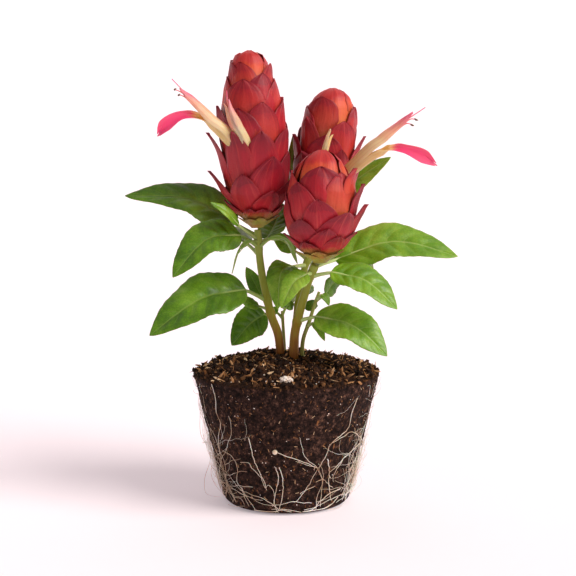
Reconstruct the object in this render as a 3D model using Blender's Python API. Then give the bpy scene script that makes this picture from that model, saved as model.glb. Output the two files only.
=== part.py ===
"""Shrimp plant lifted out of its nursery pot.

A tapered plug of peat stands on its flat base with fine roots lying over its side. Three stems rise
from it and end in upright spikes of overlapping bracts, with opposite leaves and two-lipped flowers.
Metres, +Z up. The origin is the centre of the plug's base, and the front of the plant faces -Y.
"""
import math
import random

import bpy
from mathutils import Vector, noise

MM = 0.001

# Driving dimensions: clearances and sheet thicknesses
GAP = 0.35 * MM
LEAF_THICKNESS = 0.7 * MM
BRACT_THICKNESS = 0.7 * MM
LIP_THICKNESS = 0.8 * MM

# Driving dimensions: the plug of potting mix, shaped by a 3 inch nursery pot
PLUG_TOP_RADIUS = 38.0 * MM
PLUG_BASE_RADIUS = 25.5 * MM
PLUG_HEIGHT = 53.0 * MM
PLUG_SEAT_RADIUS = 23.0 * MM
PLUG_EDGE = 2.5 * MM
MOUND_HEIGHT = 7.2 * MM
PLUG_SEGMENTS = 32
SIDE_RELIEF = 0.4 * MM
MOUND_RELIEF = 0.9 * MM

# Driving dimensions: the roots on the plug's side
ROOT_RADIUS = 0.42 * MM
ROOT_STANDOFF = SIDE_RELIEF + GAP + ROOT_RADIUS
RING_ROOT_HEIGHT = 5.0 * MM
ROOT_STRANDS = 15
ROOT_STEP = 3.8 * MM

# Driving dimensions: petioles
PETIOLE_RADIUS = 0.8 * MM
PETIOLE_SIDES = 5

random.seed(7)


# Places and shared shapes

def at(x, y, z):
    """A place given in millimetres, in metres."""
    return Vector((x, y, z)) * MM


def material(name, colour, roughness):
    made = bpy.data.materials.new(name)
    made.use_nodes = True
    shader = made.node_tree.nodes["Principled BSDF"]
    shader.inputs["Base Color"].default_value = (*colour, 1.0)
    shader.inputs["Roughness"].default_value = roughness
    shader.inputs["Metallic"].default_value = 0.0
    made.diffuse_color = (*colour, 1.0)
    return made


def new_object(name, vertices, faces, surface, smooth=True):
    """A mesh object, with its faces turned outward."""
    mesh = bpy.data.meshes.new(name)
    mesh.from_pydata([tuple(vertex) for vertex in vertices], [], faces)
    mesh.materials.append(surface)
    if smooth:
        mesh.shade_smooth()
    made = bpy.data.objects.new(name, mesh)
    bpy.context.scene.collection.objects.link(made)
    return made


def bake(thing):
    """Turns an object's modifiers into its mesh."""
    graph = bpy.context.evaluated_depsgraph_get()
    baked = bpy.data.meshes.new_from_object(thing.evaluated_get(graph))
    old = thing.data
    thing.modifiers.clear()
    thing.data = baked
    bpy.data.meshes.remove(old)
    return thing


def combine(thing, tools, operation):
    """One Boolean of a thing with a whole collection of tools, which are used up."""
    group = bpy.data.collections.new("tools")
    bpy.context.scene.collection.children.link(group)
    for tool in tools:
        group.objects.link(tool)
    boolean = thing.modifiers.new("combine", "BOOLEAN")
    boolean.operation = operation
    boolean.operand_type = "COLLECTION"
    boolean.collection = group
    boolean.solver = "EXACT"
    bake(thing)
    for tool in tools:
        bpy.data.objects.remove(tool)
    bpy.data.collections.remove(group)
    return drop_scraps(thing)


def drop_scraps(thing):
    """Keeps the largest body of a mesh, for the tips that a cut leaves loose."""
    mesh = thing.data
    owner = list(range(len(mesh.vertices)))

    def root_of(index):
        while owner[index] != index:
            owner[index] = owner[owner[index]]
            index = owner[index]
        return index

    for edge in mesh.edges:
        first, second = (root_of(index) for index in edge.vertices)
        owner[first] = second
    groups = {}
    for face in mesh.polygons:
        groups.setdefault(root_of(face.vertices[0]), []).append(face.index)
    kept = max(groups.values(), key=len)
    if len(groups) == 1:
        return thing
    used = sorted({index for face in kept for index in mesh.polygons[face].vertices})
    renumber = {index: number for number, index in enumerate(used)}
    vertices = [mesh.vertices[index].co.copy() for index in used]
    faces = [[renumber[index] for index in mesh.polygons[face].vertices] for face in kept]
    clean = bpy.data.meshes.new(thing.name)
    clean.from_pydata(vertices, [], faces)
    clean.materials.append(mesh.materials[0])
    clean.shade_smooth()
    thing.data = clean
    bpy.data.meshes.remove(mesh)
    return thing


def curve_point(points, share):
    """A point on a smooth curve through the given points, share running from 0 to 1."""
    spans = len(points) - 1
    place = min(max(share, 0.0), 1.0) * spans
    span = min(int(place), spans - 1)
    t = place - span
    before = points[span - 1] if span > 0 else points[0] * 2 - points[1]
    after = points[span + 2] if span + 2 <= spans else points[spans] * 2 - points[spans - 1]
    start, end = points[span], points[span + 1]
    return 0.5 * (
        start * 2
        + (end - before) * t
        + (before * 2 - start * 5 + end * 4 - after) * t ** 2
        + (start * 3 - before - end * 3 + after) * t ** 3
    )


def tube(name, points, radii, surface, sides=8, steps=8):
    """A closed round rod along a smooth curve, its radius running through the given radii."""
    rings = []
    across = None
    for step in range(steps + 1):
        share = step / steps
        centre = curve_point(points, share)
        ahead = curve_point(points, min(share + 0.01, 1.0))
        behind = curve_point(points, max(share - 0.01, 0.0))
        along = (ahead - behind).normalized()
        if across is None:
            across = along.orthogonal().normalized()
        across = (across - along * across.dot(along)).normalized()
        up = along.cross(across)
        place = share * (len(radii) - 1)
        index = min(int(place), len(radii) - 2)
        radius = radii[index] + (radii[index + 1] - radii[index]) * (place - index)
        rings.append([
            centre + (across * math.cos(turn) + up * math.sin(turn)) * radius
            for turn in (2 * math.pi * side / sides for side in range(sides))
        ])
    vertices = [vertex for ring in rings for vertex in ring]
    faces = []
    for step in range(steps):
        for side in range(sides):
            here, beside = step * sides + side, step * sides + (side + 1) % sides
            faces.append((here, beside, beside + sides, here + sides))
    faces.append(tuple(reversed(range(sides))))
    faces.append(tuple(steps * sides + side for side in range(sides)))
    return new_object(name, vertices, faces, surface)


def sheet(name, grid, thickness, surface):
    """A blade from rows of points, given body by Solidify.

    The first and last rows may hold one point. The quads are split alike on both faces, as mirror
    images about the middle, so that the two faces of a curled blade never cross.
    """
    vertices = [point for row in grid for point in row]
    starts = [0]
    for row in grid:
        starts.append(starts[-1] + len(row))
    faces = []
    for number, (row, after) in enumerate(zip(grid, grid[1:])):
        here, there = starts[number], starts[number + 1]
        width = max(len(row), len(after)) - 1
        for cell in range(width):
            if len(row) == 1:
                faces.append((here, there + cell + 1, there + cell))
            elif len(after) == 1:
                faces.append((here + cell, here + cell + 1, there))
            elif cell < width / 2:
                faces.append((here + cell, here + cell + 1, there + cell + 1))
                faces.append((here + cell, there + cell + 1, there + cell))
            else:
                faces.append((here + cell, here + cell + 1, there + cell))
                faces.append((here + cell + 1, there + cell + 1, there + cell))
    made = new_object(name, vertices, faces, surface)
    solid = made.modifiers.new("thickness", "SOLIDIFY")
    solid.thickness = thickness
    solid.offset = 0.0
    return bake(made)


def blade_rows(points, half_width, facing, rows, across, fold=0.0, curl=0.0):
    """Rows of points for a blade that runs along a curve.

    facing is the way that its upper face looks, fold lifts both halves from the midrib, and curl
    bends the margins back down, both as shares of the half width.
    """
    grid = [[curve_point(points, 0.0)]]
    for row in range(1, rows):
        share = row / rows
        centre = curve_point(points, share)
        along = (curve_point(points, share + 0.02) - curve_point(points, share - 0.02)).normalized()
        side = along.cross(facing).normalized()
        normal = side.cross(along)
        width = half_width(share)
        line = []
        for cell in range(across + 1):
            u = 2.0 * cell / across - 1.0
            lift = (fold * abs(u) - curl * u * u) * width
            line.append(centre + side * (u * width) + normal * lift)
        grid.append(line)
    grid.append([curve_point(points, 1.0)])
    return grid


# The potting mix

SOIL = material("peat_potting_mix", (0.028, 0.013, 0.010), 0.95)
PERLITE = material("perlite", (0.86, 0.76, 0.68), 0.9)
ROOT = material("young_root", (0.66, 0.50, 0.36), 0.8)


def side_radius(height):
    """The plug's radius at a height, rounded at the foot."""
    taper = (PLUG_TOP_RADIUS - PLUG_BASE_RADIUS) / PLUG_HEIGHT
    radius = PLUG_BASE_RADIUS + taper * height
    if height < PLUG_EDGE:
        drop = 1.0 - height / PLUG_EDGE
        radius -= (PLUG_BASE_RADIUS - PLUG_SEAT_RADIUS) * (1.0 - math.sqrt(1.0 - drop * drop))
    return radius


def mound_height(radius):
    """The height of the crumbly top at a distance from the plug's axis."""
    share = min(radius / PLUG_TOP_RADIUS, 1.0)
    return PLUG_HEIGHT + MOUND_HEIGHT * (1.0 - share * share)


def build_root_ball():
    """Rings of points from the seat up the side and over the mound, with a crumbly relief."""
    profile = [(PLUG_SEAT_RADIUS, 0.0, 0.0)]
    for height in (0.5 * MM, 1.3 * MM, 2.5 * MM, 8 * MM, 15 * MM, 22 * MM, 29 * MM, 36 * MM, 43 * MM,
                   48 * MM, 52 * MM):
        profile.append((side_radius(height), height, SIDE_RELIEF if height > PLUG_EDGE else 0.0))
    for share in (0.965, 0.87, 0.74, 0.6, 0.45, 0.3, 0.15):
        radius = PLUG_TOP_RADIUS * share
        profile.append((radius, mound_height(radius), MOUND_RELIEF))
    vertices = []
    for radius, height, relief in profile:
        for segment in range(PLUG_SEGMENTS):
            turn = 2 * math.pi * segment / PLUG_SEGMENTS
            place = Vector((math.cos(turn) * radius, math.sin(turn) * radius, height))
            rough = relief * noise.noise(place * 190.0)
            if height < PLUG_HEIGHT:
                vertices.append(Vector((math.cos(turn), math.sin(turn), 0.0)) * (radius + rough)
                                + Vector((0.0, 0.0, height)))
            else:
                vertices.append(place + Vector((0.0, 0.0, rough)))
    faces = [tuple(reversed(range(PLUG_SEGMENTS)))]
    for ring in range(len(profile) - 1):
        for segment in range(PLUG_SEGMENTS):
            here = ring * PLUG_SEGMENTS + segment
            beside = ring * PLUG_SEGMENTS + (segment + 1) % PLUG_SEGMENTS
            faces.append((here, beside, beside + PLUG_SEGMENTS))
            faces.append((here, beside + PLUG_SEGMENTS, here + PLUG_SEGMENTS))
    top = len(vertices)
    vertices.append(Vector((0.0, 0.0, PLUG_HEIGHT + MOUND_HEIGHT)))
    last = (len(profile) - 1) * PLUG_SEGMENTS
    for segment in range(PLUG_SEGMENTS):
        faces.append((last + segment, last + (segment + 1) % PLUG_SEGMENTS, top))
    return new_object("root_ball", vertices, faces, SOIL, smooth=False)


def lump(name, centre, size, grow, surface):
    """A broken, faceted grain, grown outward by grow where it serves as a cutter."""
    bpy.ops.mesh.primitive_ico_sphere_add(subdivisions=2, radius=1.0)
    grain = bpy.context.object
    grain.name = name
    grain.data.name = name
    grain.data.materials.append(surface)
    for vertex in grain.data.vertices:
        direction = vertex.co.normalized()
        bump = 1.0 + 0.22 * noise.noise(direction * 2.3)
        vertex.co = centre + Vector([direction[axis] * (size[axis] * bump + grow) for axis in range(3)])
    return grain


# The roots that lie over the plug

def surface_point(turn, height, standoff):
    """A point off the plug's side, at an angle and a height."""
    radius = side_radius(max(height, PLUG_EDGE)) + standoff
    return Vector((math.cos(turn) * radius, math.sin(turn) * radius, height))


def root_path(turn, height, heading, length, lift):
    """A wandering line up the side; heading is its slope away from upright, lift its bow outward."""
    steps = max(4, round(length / ROOT_STEP))
    points = []
    for step in range(steps + 1):
        share = step / steps
        bow = lift * math.sin(math.pi * share)
        points.append(surface_point(turn, height, ROOT_STANDOFF + bow))
        heading += random.uniform(-0.42, 0.42)
        heading = max(-1.25, min(1.25, heading))
        radius = side_radius(max(height, PLUG_EDGE))
        turn += math.sin(heading) * ROOT_STEP / radius
        height += math.cos(heading) * ROOT_STEP
    return points


def build_root_net():
    """A root that circles the foot, strands that climb from it and branches on the strands."""
    count = 36
    ring = []
    for number in range(count):
        turn = 2 * math.pi * number / count
        height = RING_ROOT_HEIGHT + 1.1 * MM * math.sin(3 * turn + 0.6)
        ring.append(surface_point(turn, height, ROOT_STANDOFF))
    vertices, faces, sides = [], [], 4
    for number, centre in enumerate(ring):
        outward = Vector((centre.x, centre.y, 0.0)).normalized()
        for side in range(sides):
            spin = 2 * math.pi * side / sides
            vertices.append(centre + (outward * math.cos(spin) + Vector((0, 0, 1)) * math.sin(spin))
                            * ROOT_RADIUS)
            here, beside = number * sides + side, number * sides + (side + 1) % sides
            there = ((number + 1) % count) * sides
            faces.append((here, there + side, there + (side + 1) % sides, beside))
    net = new_object("root_net", vertices, faces, ROOT)

    strands = []
    for number in range(ROOT_STRANDS):
        turn = 2 * math.pi * (number + random.uniform(-0.3, 0.3)) / ROOT_STRANDS
        height = RING_ROOT_HEIGHT + 1.1 * MM * math.sin(3 * turn + 0.6)
        length = random.uniform(16, 36) * MM
        lift = 2.2 * MM if abs(math.sin(turn)) < 0.3 else 0.0
        path = root_path(turn, height, random.uniform(-0.9, 0.9), length, lift)
        strands.append(tube("strand", path, [ROOT_RADIUS, ROOT_RADIUS * 0.7], ROOT, 3, len(path) - 1))
        if number % 2 == 0:
            fork = path[len(path) // 2]
            fork_turn = math.atan2(fork.y, fork.x)
            side = random.choice((-1, 1)) * random.uniform(0.8, 1.2)
            twig = root_path(fork_turn, fork.z, side, random.uniform(9, 18) * MM, 0.0)
            twig[0] = fork
            strands.append(tube("twig", twig, [ROOT_RADIUS * 0.8, ROOT_RADIUS * 0.6], ROOT, 3,
                                len(twig) - 1))
    return combine(net, strands, "UNION")


# Stems

STEM = material("stem", (0.22, 0.19, 0.03), 0.5)
SHOOT = material("young_shoot", (0.36, 0.42, 0.08), 0.5)

STEMS = {
    "stem_left": ([at(-1.9, -3, 54), at(-3.2, -3.5, 68), at(-6.2, -3.5, 76.7), at(-8.2, -3, 85.2),
                   at(-10, -2, 93.7), at(-11.1, -1, 102.2), at(-11.7, 0, 111.5)],
                  [1.9 * MM, 1.7 * MM, 1.5 * MM], STEM),
    "stem_right_front": ([at(2.6, -7, 54), at(3.2, -7.5, 68.6), at(4.9, -9, 77.4), at(7.2, -11, 86.1),
                          at(9, -13, 92.6), at(11.3, -15.5, 98.5)],
                         [2.0 * MM, 1.8 * MM, 1.6 * MM], STEM),
    "stem_right_back": ([at(3.4, 1.7, 54), at(3.7, 3, 69.9), at(5.2, 6, 82.8), at(7.6, 9.8, 95),
                         at(10.6, 12, 101), at(12.1, 12.5, 103.9)],
                        [1.7 * MM, 1.5 * MM, 1.5 * MM], STEM),
    "shoot_right": ([at(6.3, -4.2, 54), at(6.6, -4.4, 66), at(9.2, -4, 74.2), at(11.4, -2, 80.9),
                     at(13.3, 0, 86)],
                    [0.9 * MM, 0.8 * MM, 0.6 * MM], SHOOT),
    "shoot_middle": ([at(-0.6, 2.6, 55), at(-1.2, 2.4, 68), at(-1.8, 2, 77.9)],
                     [0.8 * MM, 0.7 * MM, 0.6 * MM], SHOOT),
}


def stem_at(stem, height):
    """The stem's axis at a height, the way it runs there and its radius."""
    points, radii, _ = STEMS[stem]
    low, high = 0.0, 1.0
    for _ in range(30):
        middle = (low + high) / 2
        if curve_point(points, middle).z < height:
            low = middle
        else:
            high = middle
    place = low * (len(radii) - 1)
    index = min(int(place), len(radii) - 2)
    along = (curve_point(points, low + 0.02) - curve_point(points, low - 0.02)).normalized()
    radius = radii[index] + (radii[index + 1] - radii[index]) * (place - index)
    return curve_point(points, low), along, radius


def build_stem(name):
    points, radii, surface = STEMS[name]
    return tube(name, points, radii, surface, sides=8, steps=8)


def stem_hole(name):
    """A plain hole for the foot of a stem, a clearance wider than it and a clearance deeper."""
    points, radii, surface = STEMS[name]
    foot = [points[0] - Vector((0, 0, GAP)), points[0] + (points[1] - points[0]) * 0.8]
    return tube("hole", foot, [radii[0] + GAP, radii[0] + GAP], surface, sides=8, steps=1)


# Leaves

LEAF_DARK = material("leaf_shaded", (0.085, 0.19, 0.014), 0.42)
LEAF_LIGHT = material("leaf_lit", (0.20, 0.37, 0.05), 0.42)


def leaf_half_width(width):
    """An egg-shaped outline with a drawn-out tip, widest at three eighths of its length."""
    peak = 0.625 ** 0.8 * 0.375 ** 0.48

    def half_width(share):
        return 0.5 * width * (1.0 - share) ** 0.8 * share ** 0.48 / peak
    return half_width


def build_leaf(name, stem, height, points, width, facing, fold=0.22, curl=0.1, light=False):
    """A blade on a petiole, which starts a clearance off its stem and runs along the midrib."""
    surface = LEAF_LIGHT if light else LEAF_DARK
    axis, upward, stem_radius = stem_at(stem, height * MM)
    base = points[0]
    toward = (base - axis).normalized()
    slope = abs(toward.dot(upward))
    large = width > 9.0
    slim = PETIOLE_RADIUS * (1.0 if large else 0.75)
    start = axis + toward * ((stem_radius + GAP + slim * slope) / math.sqrt(1.0 - slope * slope))
    rows = 6 if large else 4
    outline = leaf_half_width(width * MM)
    grid = blade_rows(points, outline, Vector(facing).normalized(), rows, 4, fold, curl)
    blade = sheet(name, grid, LEAF_THICKNESS, surface)
    run = [start, (start + base) / 2, curve_point(points, 0.03), curve_point(points, 0.22)]
    radii = [slim * share for share in (1.0, 0.95, 0.85, 0.5)]
    petiole = tube("petiole", run, radii, surface, PETIOLE_SIDES, 3)
    return combine(blade, [petiole], "UNION")


LEAVES = [
    # name, stem, height of its joint, base, middle and tip, width, facing
    ("leaf_left_top", "stem_left", 108.5, (at(-20.8, 6, 113.6), at(-40, 9, 123.6), at(-66.3, 6, 125)),
     19.0, (-0.1, -0.62, 0.78), {}),
    ("leaf_left_small", "stem_left", 107, (at(-19, -8, 113.6), at(-24.1, -11, 119.4), at(-30, -12, 123)),
     5.0, (-0.4, -0.5, 0.77), {"light": True}),
    ("leaf_left_middle", "stem_left", 104.5, (at(-18.3, -5, 109.5), at(-32.4, -10, 107.6),
                                              at(-44.8, -17, 93.6)),
     18.0, (-0.25, -0.75, 0.6), {}),
    ("leaf_left_low", "stem_left", 82.5, (at(-16.3, -6, 87.6), at(-34.5, -12, 84.2), at(-54.1, -18, 70.6)),
     23.0, (-0.2, -0.7, 0.65), {}),
    ("leaf_left_curved", "stem_left", 107, (at(-14, -5, 107.2), at(-18.6, -10, 104), at(-21.6, -14, 94.9)),
     5.5, (-0.8, 0.2, 0.6), {}),
    ("leaf_low_behind", "stem_left", 76, (at(-8.6, 4.5, 76.5), at(-15.1, 5, 72), at(-22.6, 2, 63.6)),
     15.0, (-0.25, -0.9, 0.35), {}),
    ("leaf_upright_behind", "stem_left", 83, (at(-10.5, 3, 84.2), at(-13.4, 5, 89.6), at(-16.7, 6, 95.7)),
     6.5, (0.1, -0.95, 0.2), {}),
    ("leaf_under_petiole", "stem_left", 79, (at(-11.4, 0, 80.3), at(-14.9, -1.5, 81.5), at(-19.3, -2, 84.6)),
     5.5, (-0.2, -0.7, 0.7), {}),
    ("leaf_centre_wide", "stem_right_back", 96, (at(2.6, 2, 96.4), at(-2.2, -5, 94), at(-3.5, -11, 80.3)),
     12.5, (-0.35, -0.85, 0.45), {"light": True}),
    ("leaf_centre_front", "stem_right_front", 95, (at(8.2, -18.4, 95.2), at(2.6, -22, 91.6), at(-2.1, -25, 82.4)),
     9.5, (-0.3, -0.85, 0.45), {"light": True}),
    ("leaf_between_dark", "stem_left", 106, (at(-8, 5, 107.4), at(-5, 12, 112.6), at(-1.6, 18, 121.5)),
     13.5, (-0.45, -0.85, 0.1), {}),
    ("leaf_between_arched", "stem_left", 104, (at(-7.4, -5, 107.8), at(-0.2, -8, 107.7), at(4.4, -6, 98.1)),
     5.0, (0.3, 0.3, 0.9), {}),
    ("leaf_between_pale", "stem_right_back", 98, (at(3.6, 17, 101.6), at(-0.6, 21, 104.6), at(-6, 23, 108.6)),
     8.0, (-0.1, -0.9, 0.4), {"light": True}),
    ("leaf_right_top", "stem_right_front", 97.6, (at(19.4, -3, 99.4), at(43.6, -2, 106.6), at(68.9, -6, 101)),
     20.0, (0.05, -0.65, 0.75), {"light": True}),
    ("leaf_right_middle", "stem_right_front", 93.5, (at(17.4, -17.5, 95.8), at(31, -21.5, 92.4),
                                                     at(42.8, -27, 82.2)),
     16.5, (0.25, -0.6, 0.75), {"light": True}),
    ("leaf_right_low", "stem_right_front", 75, (at(11.4, -12.5, 77.6), at(26.7, -18, 74.2),
                                                at(39.4, -23, 63.2)),
     18.0, (0.2, -0.7, 0.68), {"light": True}),
    ("leaf_shoot_raised", "shoot_right", 82.5, (at(15.8, 1, 85), at(19, 4.6, 89), at(24, 8.5, 91.6)),
     8.5, (0.3, -0.85, -0.4), {}),
    ("leaf_shoot_drooped", "shoot_right", 83, (at(14.3, -2.4, 85.2), at(16, -3, 83.9), at(17.3, -3.2, 80.8)),
     3.6, (0.4, -0.8, 0.4), {"light": True}),
    ("leaf_shoot_tongue", "shoot_right", 72.5, (at(10.9, -7.4, 74.4), at(13, -9.5, 72.4), at(15.3, -10.5, 67.4)),
     4.4, (0.35, -0.8, 0.45), {"light": True}),
    ("leaf_shoot_small", "shoot_right", 76, (at(10.4, 0.2, 78.2), at(10.4, 2.6, 80.2), at(12.2, 4.4, 82)),
     5.6, (-0.2, -0.9, 0.3), {}),
    ("leaf_middle_left", "shoot_middle", 75, (at(-3.7, 3.2, 77), at(-5.6, 4.2, 77.6), at(-8.6, 5.4, 76.4)),
     4.0, (-0.2, -0.8, 0.5), {}),
    ("leaf_middle_right", "shoot_middle", 76.6, (at(-0.4, 4.2, 78.8), at(1, 6.2, 80), at(3, 8.4, 80.4)),
     5.2, (0.2, -0.9, 0.3), {}),
    ("leaf_back_right_top", "stem_right_back", 101, (at(14.5, 28.5, 109.5), at(27, 33, 128), at(44.6, 29, 140.9)),
     13.0, (-0.35, -0.8, 0.45), {"light": True}),
    ("leaf_back_upright", "stem_right_back", 100.5, (at(7, 21, 104.5), at(1.8, 25.5, 127), at(2.6, 22, 150)),
     6.0, (-0.1, -0.98, 0.1), {}),
    ("leaf_back_left", "stem_left", 101, (at(-16.5, 9, 105.5), at(-29, 21, 111), at(-42, 34, 104)),
     18.0, (-0.25, 0.3, 0.9), {}),
    ("leaf_back_right", "stem_right_back", 92, (at(12, 16, 94.6), at(25, 28, 99), at(38, 41, 91)),
     19.0, (0.2, 0.3, 0.92), {}),
    ("leaf_back_low", "stem_right_back", 80, (at(4, 11.5, 82.5), at(2, 26, 85), at(-1.5, 41, 74)),
     18.0, (0.0, 0.45, 0.9), {}),
]


# Spikes of bracts

BRACT = material("bract", (0.50, 0.030, 0.032), 0.45)

SPIKES = {
    # foot and top of the axis, then heights up it with the envelope's radius there, in millimetres
    "spike_left": {
        "foot": at(-11.8, 0, 112.3), "top": at(-15.0, 0, 183.3), "stub": 2.2 * MM,
        "envelope": ((0, 3.8), (2, 8.2), (5, 11.2), (12, 14.0), (24, 14.8), (40, 14.6), (50, 13.4),
                     (60, 10.0), (66, 7.4), (71, 2.4)),
        "pairs": 11, "length": 20.5 * MM, "width": 18.0 * MM, "spin": 0.18, "splay": 3.2 * MM},
    "spike_right_back": {
        "foot": at(12.4, 12.6, 104.6), "top": at(19.1, 12, 169.6), "stub": 2.2 * MM,
        "envelope": ((0, 3.6), (2, 7.4), (6, 10.8), (14, 13.0), (26, 13.6), (40, 13.2), (50, 11.8),
                     (57, 9.2), (61, 6.6), (64.8, 2.2)),
        "pairs": 10, "length": 19.5 * MM, "width": 16.5 * MM, "spin": -0.1, "splay": 1.4 * MM},
    "spike_right_front": {
        "foot": at(13.2, -16.6, 99.4), "top": at(13.9, -17, 143.6), "stub": 2.2 * MM,
        "envelope": ((0, 4.0), (2, 9.0), (5, 12.0), (11, 14.6), (20, 15.4), (28, 13.8), (35, 10.6),
                     (40, 7.4), (44.2, 2.4)),
        "pairs": 8, "length": 20.5 * MM, "width": 19.0 * MM, "spin": 0.05, "splay": 2.2 * MM},
}
NEIGHBOURS = (("spike_right_back", "spike_right_front"), ("spike_left", "spike_right_front"),
              ("spike_left", "spike_right_back"))
LAYER_DEPTH = 6.0 * MM
LOW_LAYER = 12.0 * MM
FOOT_SINK = 0.8 * MM


def core_radius(spike, height):
    """The core's radius at a height, in metres."""
    return max(spike["stub"], table(spike["envelope"], height / MM) * MM * 0.6)


def table(rows, place):
    """Straight-line reading of a table of pairs."""
    for (low, first), (high, second) in zip(rows, rows[1:]):
        if place <= high:
            return first + (second - first) * max(0.0, (place - low) / (high - low))
    return rows[-1][1]


def spike_axis(spike, height):
    """The centre of a spike at a height above its foot."""
    foot, top = spike["foot"], spike["top"]
    return foot + (top - foot) * (height / (top - foot).length)


def room(name, height, turn):
    """How far a spike may reach that way before it meets the one beside it."""
    reach = 1.0
    centre = spike_axis(SPIKES[name], height)
    for pair in NEIGHBOURS:
        if name not in pair:
            continue
        other = SPIKES[pair[1] if pair[0] == name else pair[0]]
        beside = other["foot"] + (other["top"] - other["foot"]) * 0.5
        apart = Vector((beside.x - centre.x, beside.y - centre.y))
        facing = math.cos(turn) * apart.x + math.sin(turn) * apart.y
        if facing > 0.0:
            reach = min(reach, (apart.length / 2 - 1.2 * MM) * apart.length / facing)
    return reach


def build_bract(name, spike, height, turn, share, splay):
    """One bract: its foot is sunk in the core and its tip lies on the envelope."""
    size = 1.0 - 0.42 * share ** 2
    length, width = spike["length"] * size, spike["width"] * (1.0 - 0.45 * share ** 1.6)
    rows, across = 4, 4
    foot_depth = 0.25 + 0.75 * min(1.0, height / LOW_LAYER)
    grid = []
    for row in range(rows + 1):
        v = row / rows
        rise = height + length * (0.04 + 0.96 * v)
        reach = table(spike["envelope"], rise / MM) * MM
        depth = foot_depth * min(LAYER_DEPTH, 0.6 * reach) * (1.0 - v) ** 1.5
        half_width = 0.5 * width * math.sin(math.pi * (0.17 + 0.83 * v)) ** 0.85
        line = []
        cells = 0 if row == rows else across
        for cell in range(cells + 1):
            u = 2.0 * cell / cells - 1.0 if cells else 0.0
            radius = max(reach - depth, 0.8 * MM)
            angle = turn + u * min(half_width / radius, 1.35)
            limit = room(name, rise, angle)
            out = min(reach, limit) - depth - 0.9 * MM * u * u * v + splay * v ** 4
            out = max(min(out, limit), 0.8 * MM)
            if row == 0:
                out = max(core_radius(spike, rise) - FOOT_SINK, 0.8 * MM)
            centre = spike_axis(spike, rise)
            line.append(centre + Vector((math.cos(angle), math.sin(angle), 0.0)) * out)
        grid.append(line)
    return sheet("bract", grid, BRACT_THICKNESS, BRACT)


def build_spike(name):
    """A slim core with opposite pairs of bracts, each pair a quarter turn on from the one below."""
    spike = SPIKES[name]
    tall = (spike["top"] - spike["foot"]).length
    heights = [tall * share for share in (0.0, 0.04, 0.1, 0.2, 0.35, 0.55, 0.75, 0.9, 0.96)]
    radii = [core_radius(spike, height) for height in heights]
    radii[0], radii[-1] = spike["stub"], spike["stub"] * 0.6
    sides = 10
    vertices, faces = [], []
    for height, radius in zip(heights, radii):
        for side in range(sides):
            turn = 2 * math.pi * side / sides
            vertices.append(spike_axis(spike, height)
                            + Vector((math.cos(turn), math.sin(turn), 0.0)) * radius)
    for ring in range(len(heights) - 1):
        for side in range(sides):
            here, beside = ring * sides + side, ring * sides + (side + 1) % sides
            faces.append((here, beside, beside + sides, here + sides))
    faces.append(tuple(reversed(range(sides))))
    faces.append(tuple((len(heights) - 1) * sides + side for side in range(sides)))
    core = new_object(name, vertices, faces, BRACT)

    bracts = []
    pairs = spike["pairs"]
    last = tall - spike["length"] * 0.58
    for pair in range(pairs + 1):
        share = pair / pairs
        height = last * (1.0 - (1.0 - share) ** 1.18)
        for half in range(2):
            turn = spike["spin"] + pair * math.radians(97.0) + half * math.pi + random.uniform(-0.1, 0.1)
            splay = spike["splay"] * max(0.0, 1.0 - share * 1.5) * random.uniform(0.6, 1.2)
            bracts.append(build_bract(name, spike, height, turn, share, splay))
    return combine(core, bracts, "UNION")


# Flowers

TUBE = material("corolla_tube", (0.94, 0.63, 0.34), 0.4)

FLOWERS = {
    "flower_left_open": {
        "spike": "spike_left",
        "tube": (at(-18.4, -9.3, 142), at(-24, -13.3, 149), at(-31.2, -17, 156.2)),
        "radii": (1.5 * MM, 2.0 * MM, 2.8 * MM),
        "hood": (at(-29.6, -16.6, 156.4), at(-34.4, -18, 161.6), at(-40.8, -20, 167.2)),
        "hood_width": 4.6,
        "lip": (at(-30.6, -17, 154.6), at(-35.6, -18.5, 157), at(-41, -20, 157.4), at(-46, -21.5, 153.8),
                at(-49.4, -22.5, 149.2)),
        "lip_width": 5.6, "facing": (-0.45, -0.75, 0.5),
        "style": (at(-28, -15.6, 153.6), at(-36, -19.4, 162.6), at(-44, -21.4, 170.6))},
    "flower_left_half_open": {
        "spike": "spike_left",
        "tube": (at(-16.2, -12.3, 144.6), at(-19.6, -14.8, 152), at(-22.2, -16, 157)),
        "radii": (1.3 * MM, 1.6 * MM, 2.0 * MM),
        "hood": (at(-21.6, -15.8, 156), at(-22.8, -16, 159), at(-23.7, -16, 163.4)),
        "hood_width": 3.6,
        "lip": (at(-21.8, -16.6, 155.6), at(-24, -17.4, 158.4), at(-26, -18, 160.6)),
        "lip_width": 3.2, "facing": (-0.5, -0.8, 0.2),
        "style": None},
    "flower_right_open": {
        "spike": "spike_right_back",
        "tube": (at(20.8, 0.8, 129.6), at(25.6, -3.4, 135.6), at(36, -7, 144.7)),
        "radii": (1.5 * MM, 2.0 * MM, 2.8 * MM),
        "hood": (at(34.6, -6.6, 145), at(41.6, -8, 151), at(50, -9.2, 158.2)),
        "hood_width": 4.6,
        "lip": (at(35, -7, 143), at(42.4, -9.4, 145), at(51, -11, 142.4), at(59, -12.4, 137.6)),
        "lip_width": 5.8, "facing": (0.35, -0.75, 0.55),
        "style": (at(33, -6, 142.4), at(43.5, -9.8, 152.4), at(54.6, -11, 160.2))},
    "flower_right_bud": {
        "spike": "spike_right_front",
        "tube": (at(12.6, -10.6, 134.6), at(15, -8.4, 143), at(17.4, -7.6, 149)),
        "radii": (1.0 * MM, 1.2 * MM, 1.2 * MM),
        "hood": (at(17, -7.8, 147.6), at(17.6, -7.6, 149.4), at(18, -7.4, 151.4)),
        "hood_width": 2.4, "lip": None, "facing": (0.2, -0.9, 0.2), "style": None},
}


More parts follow.
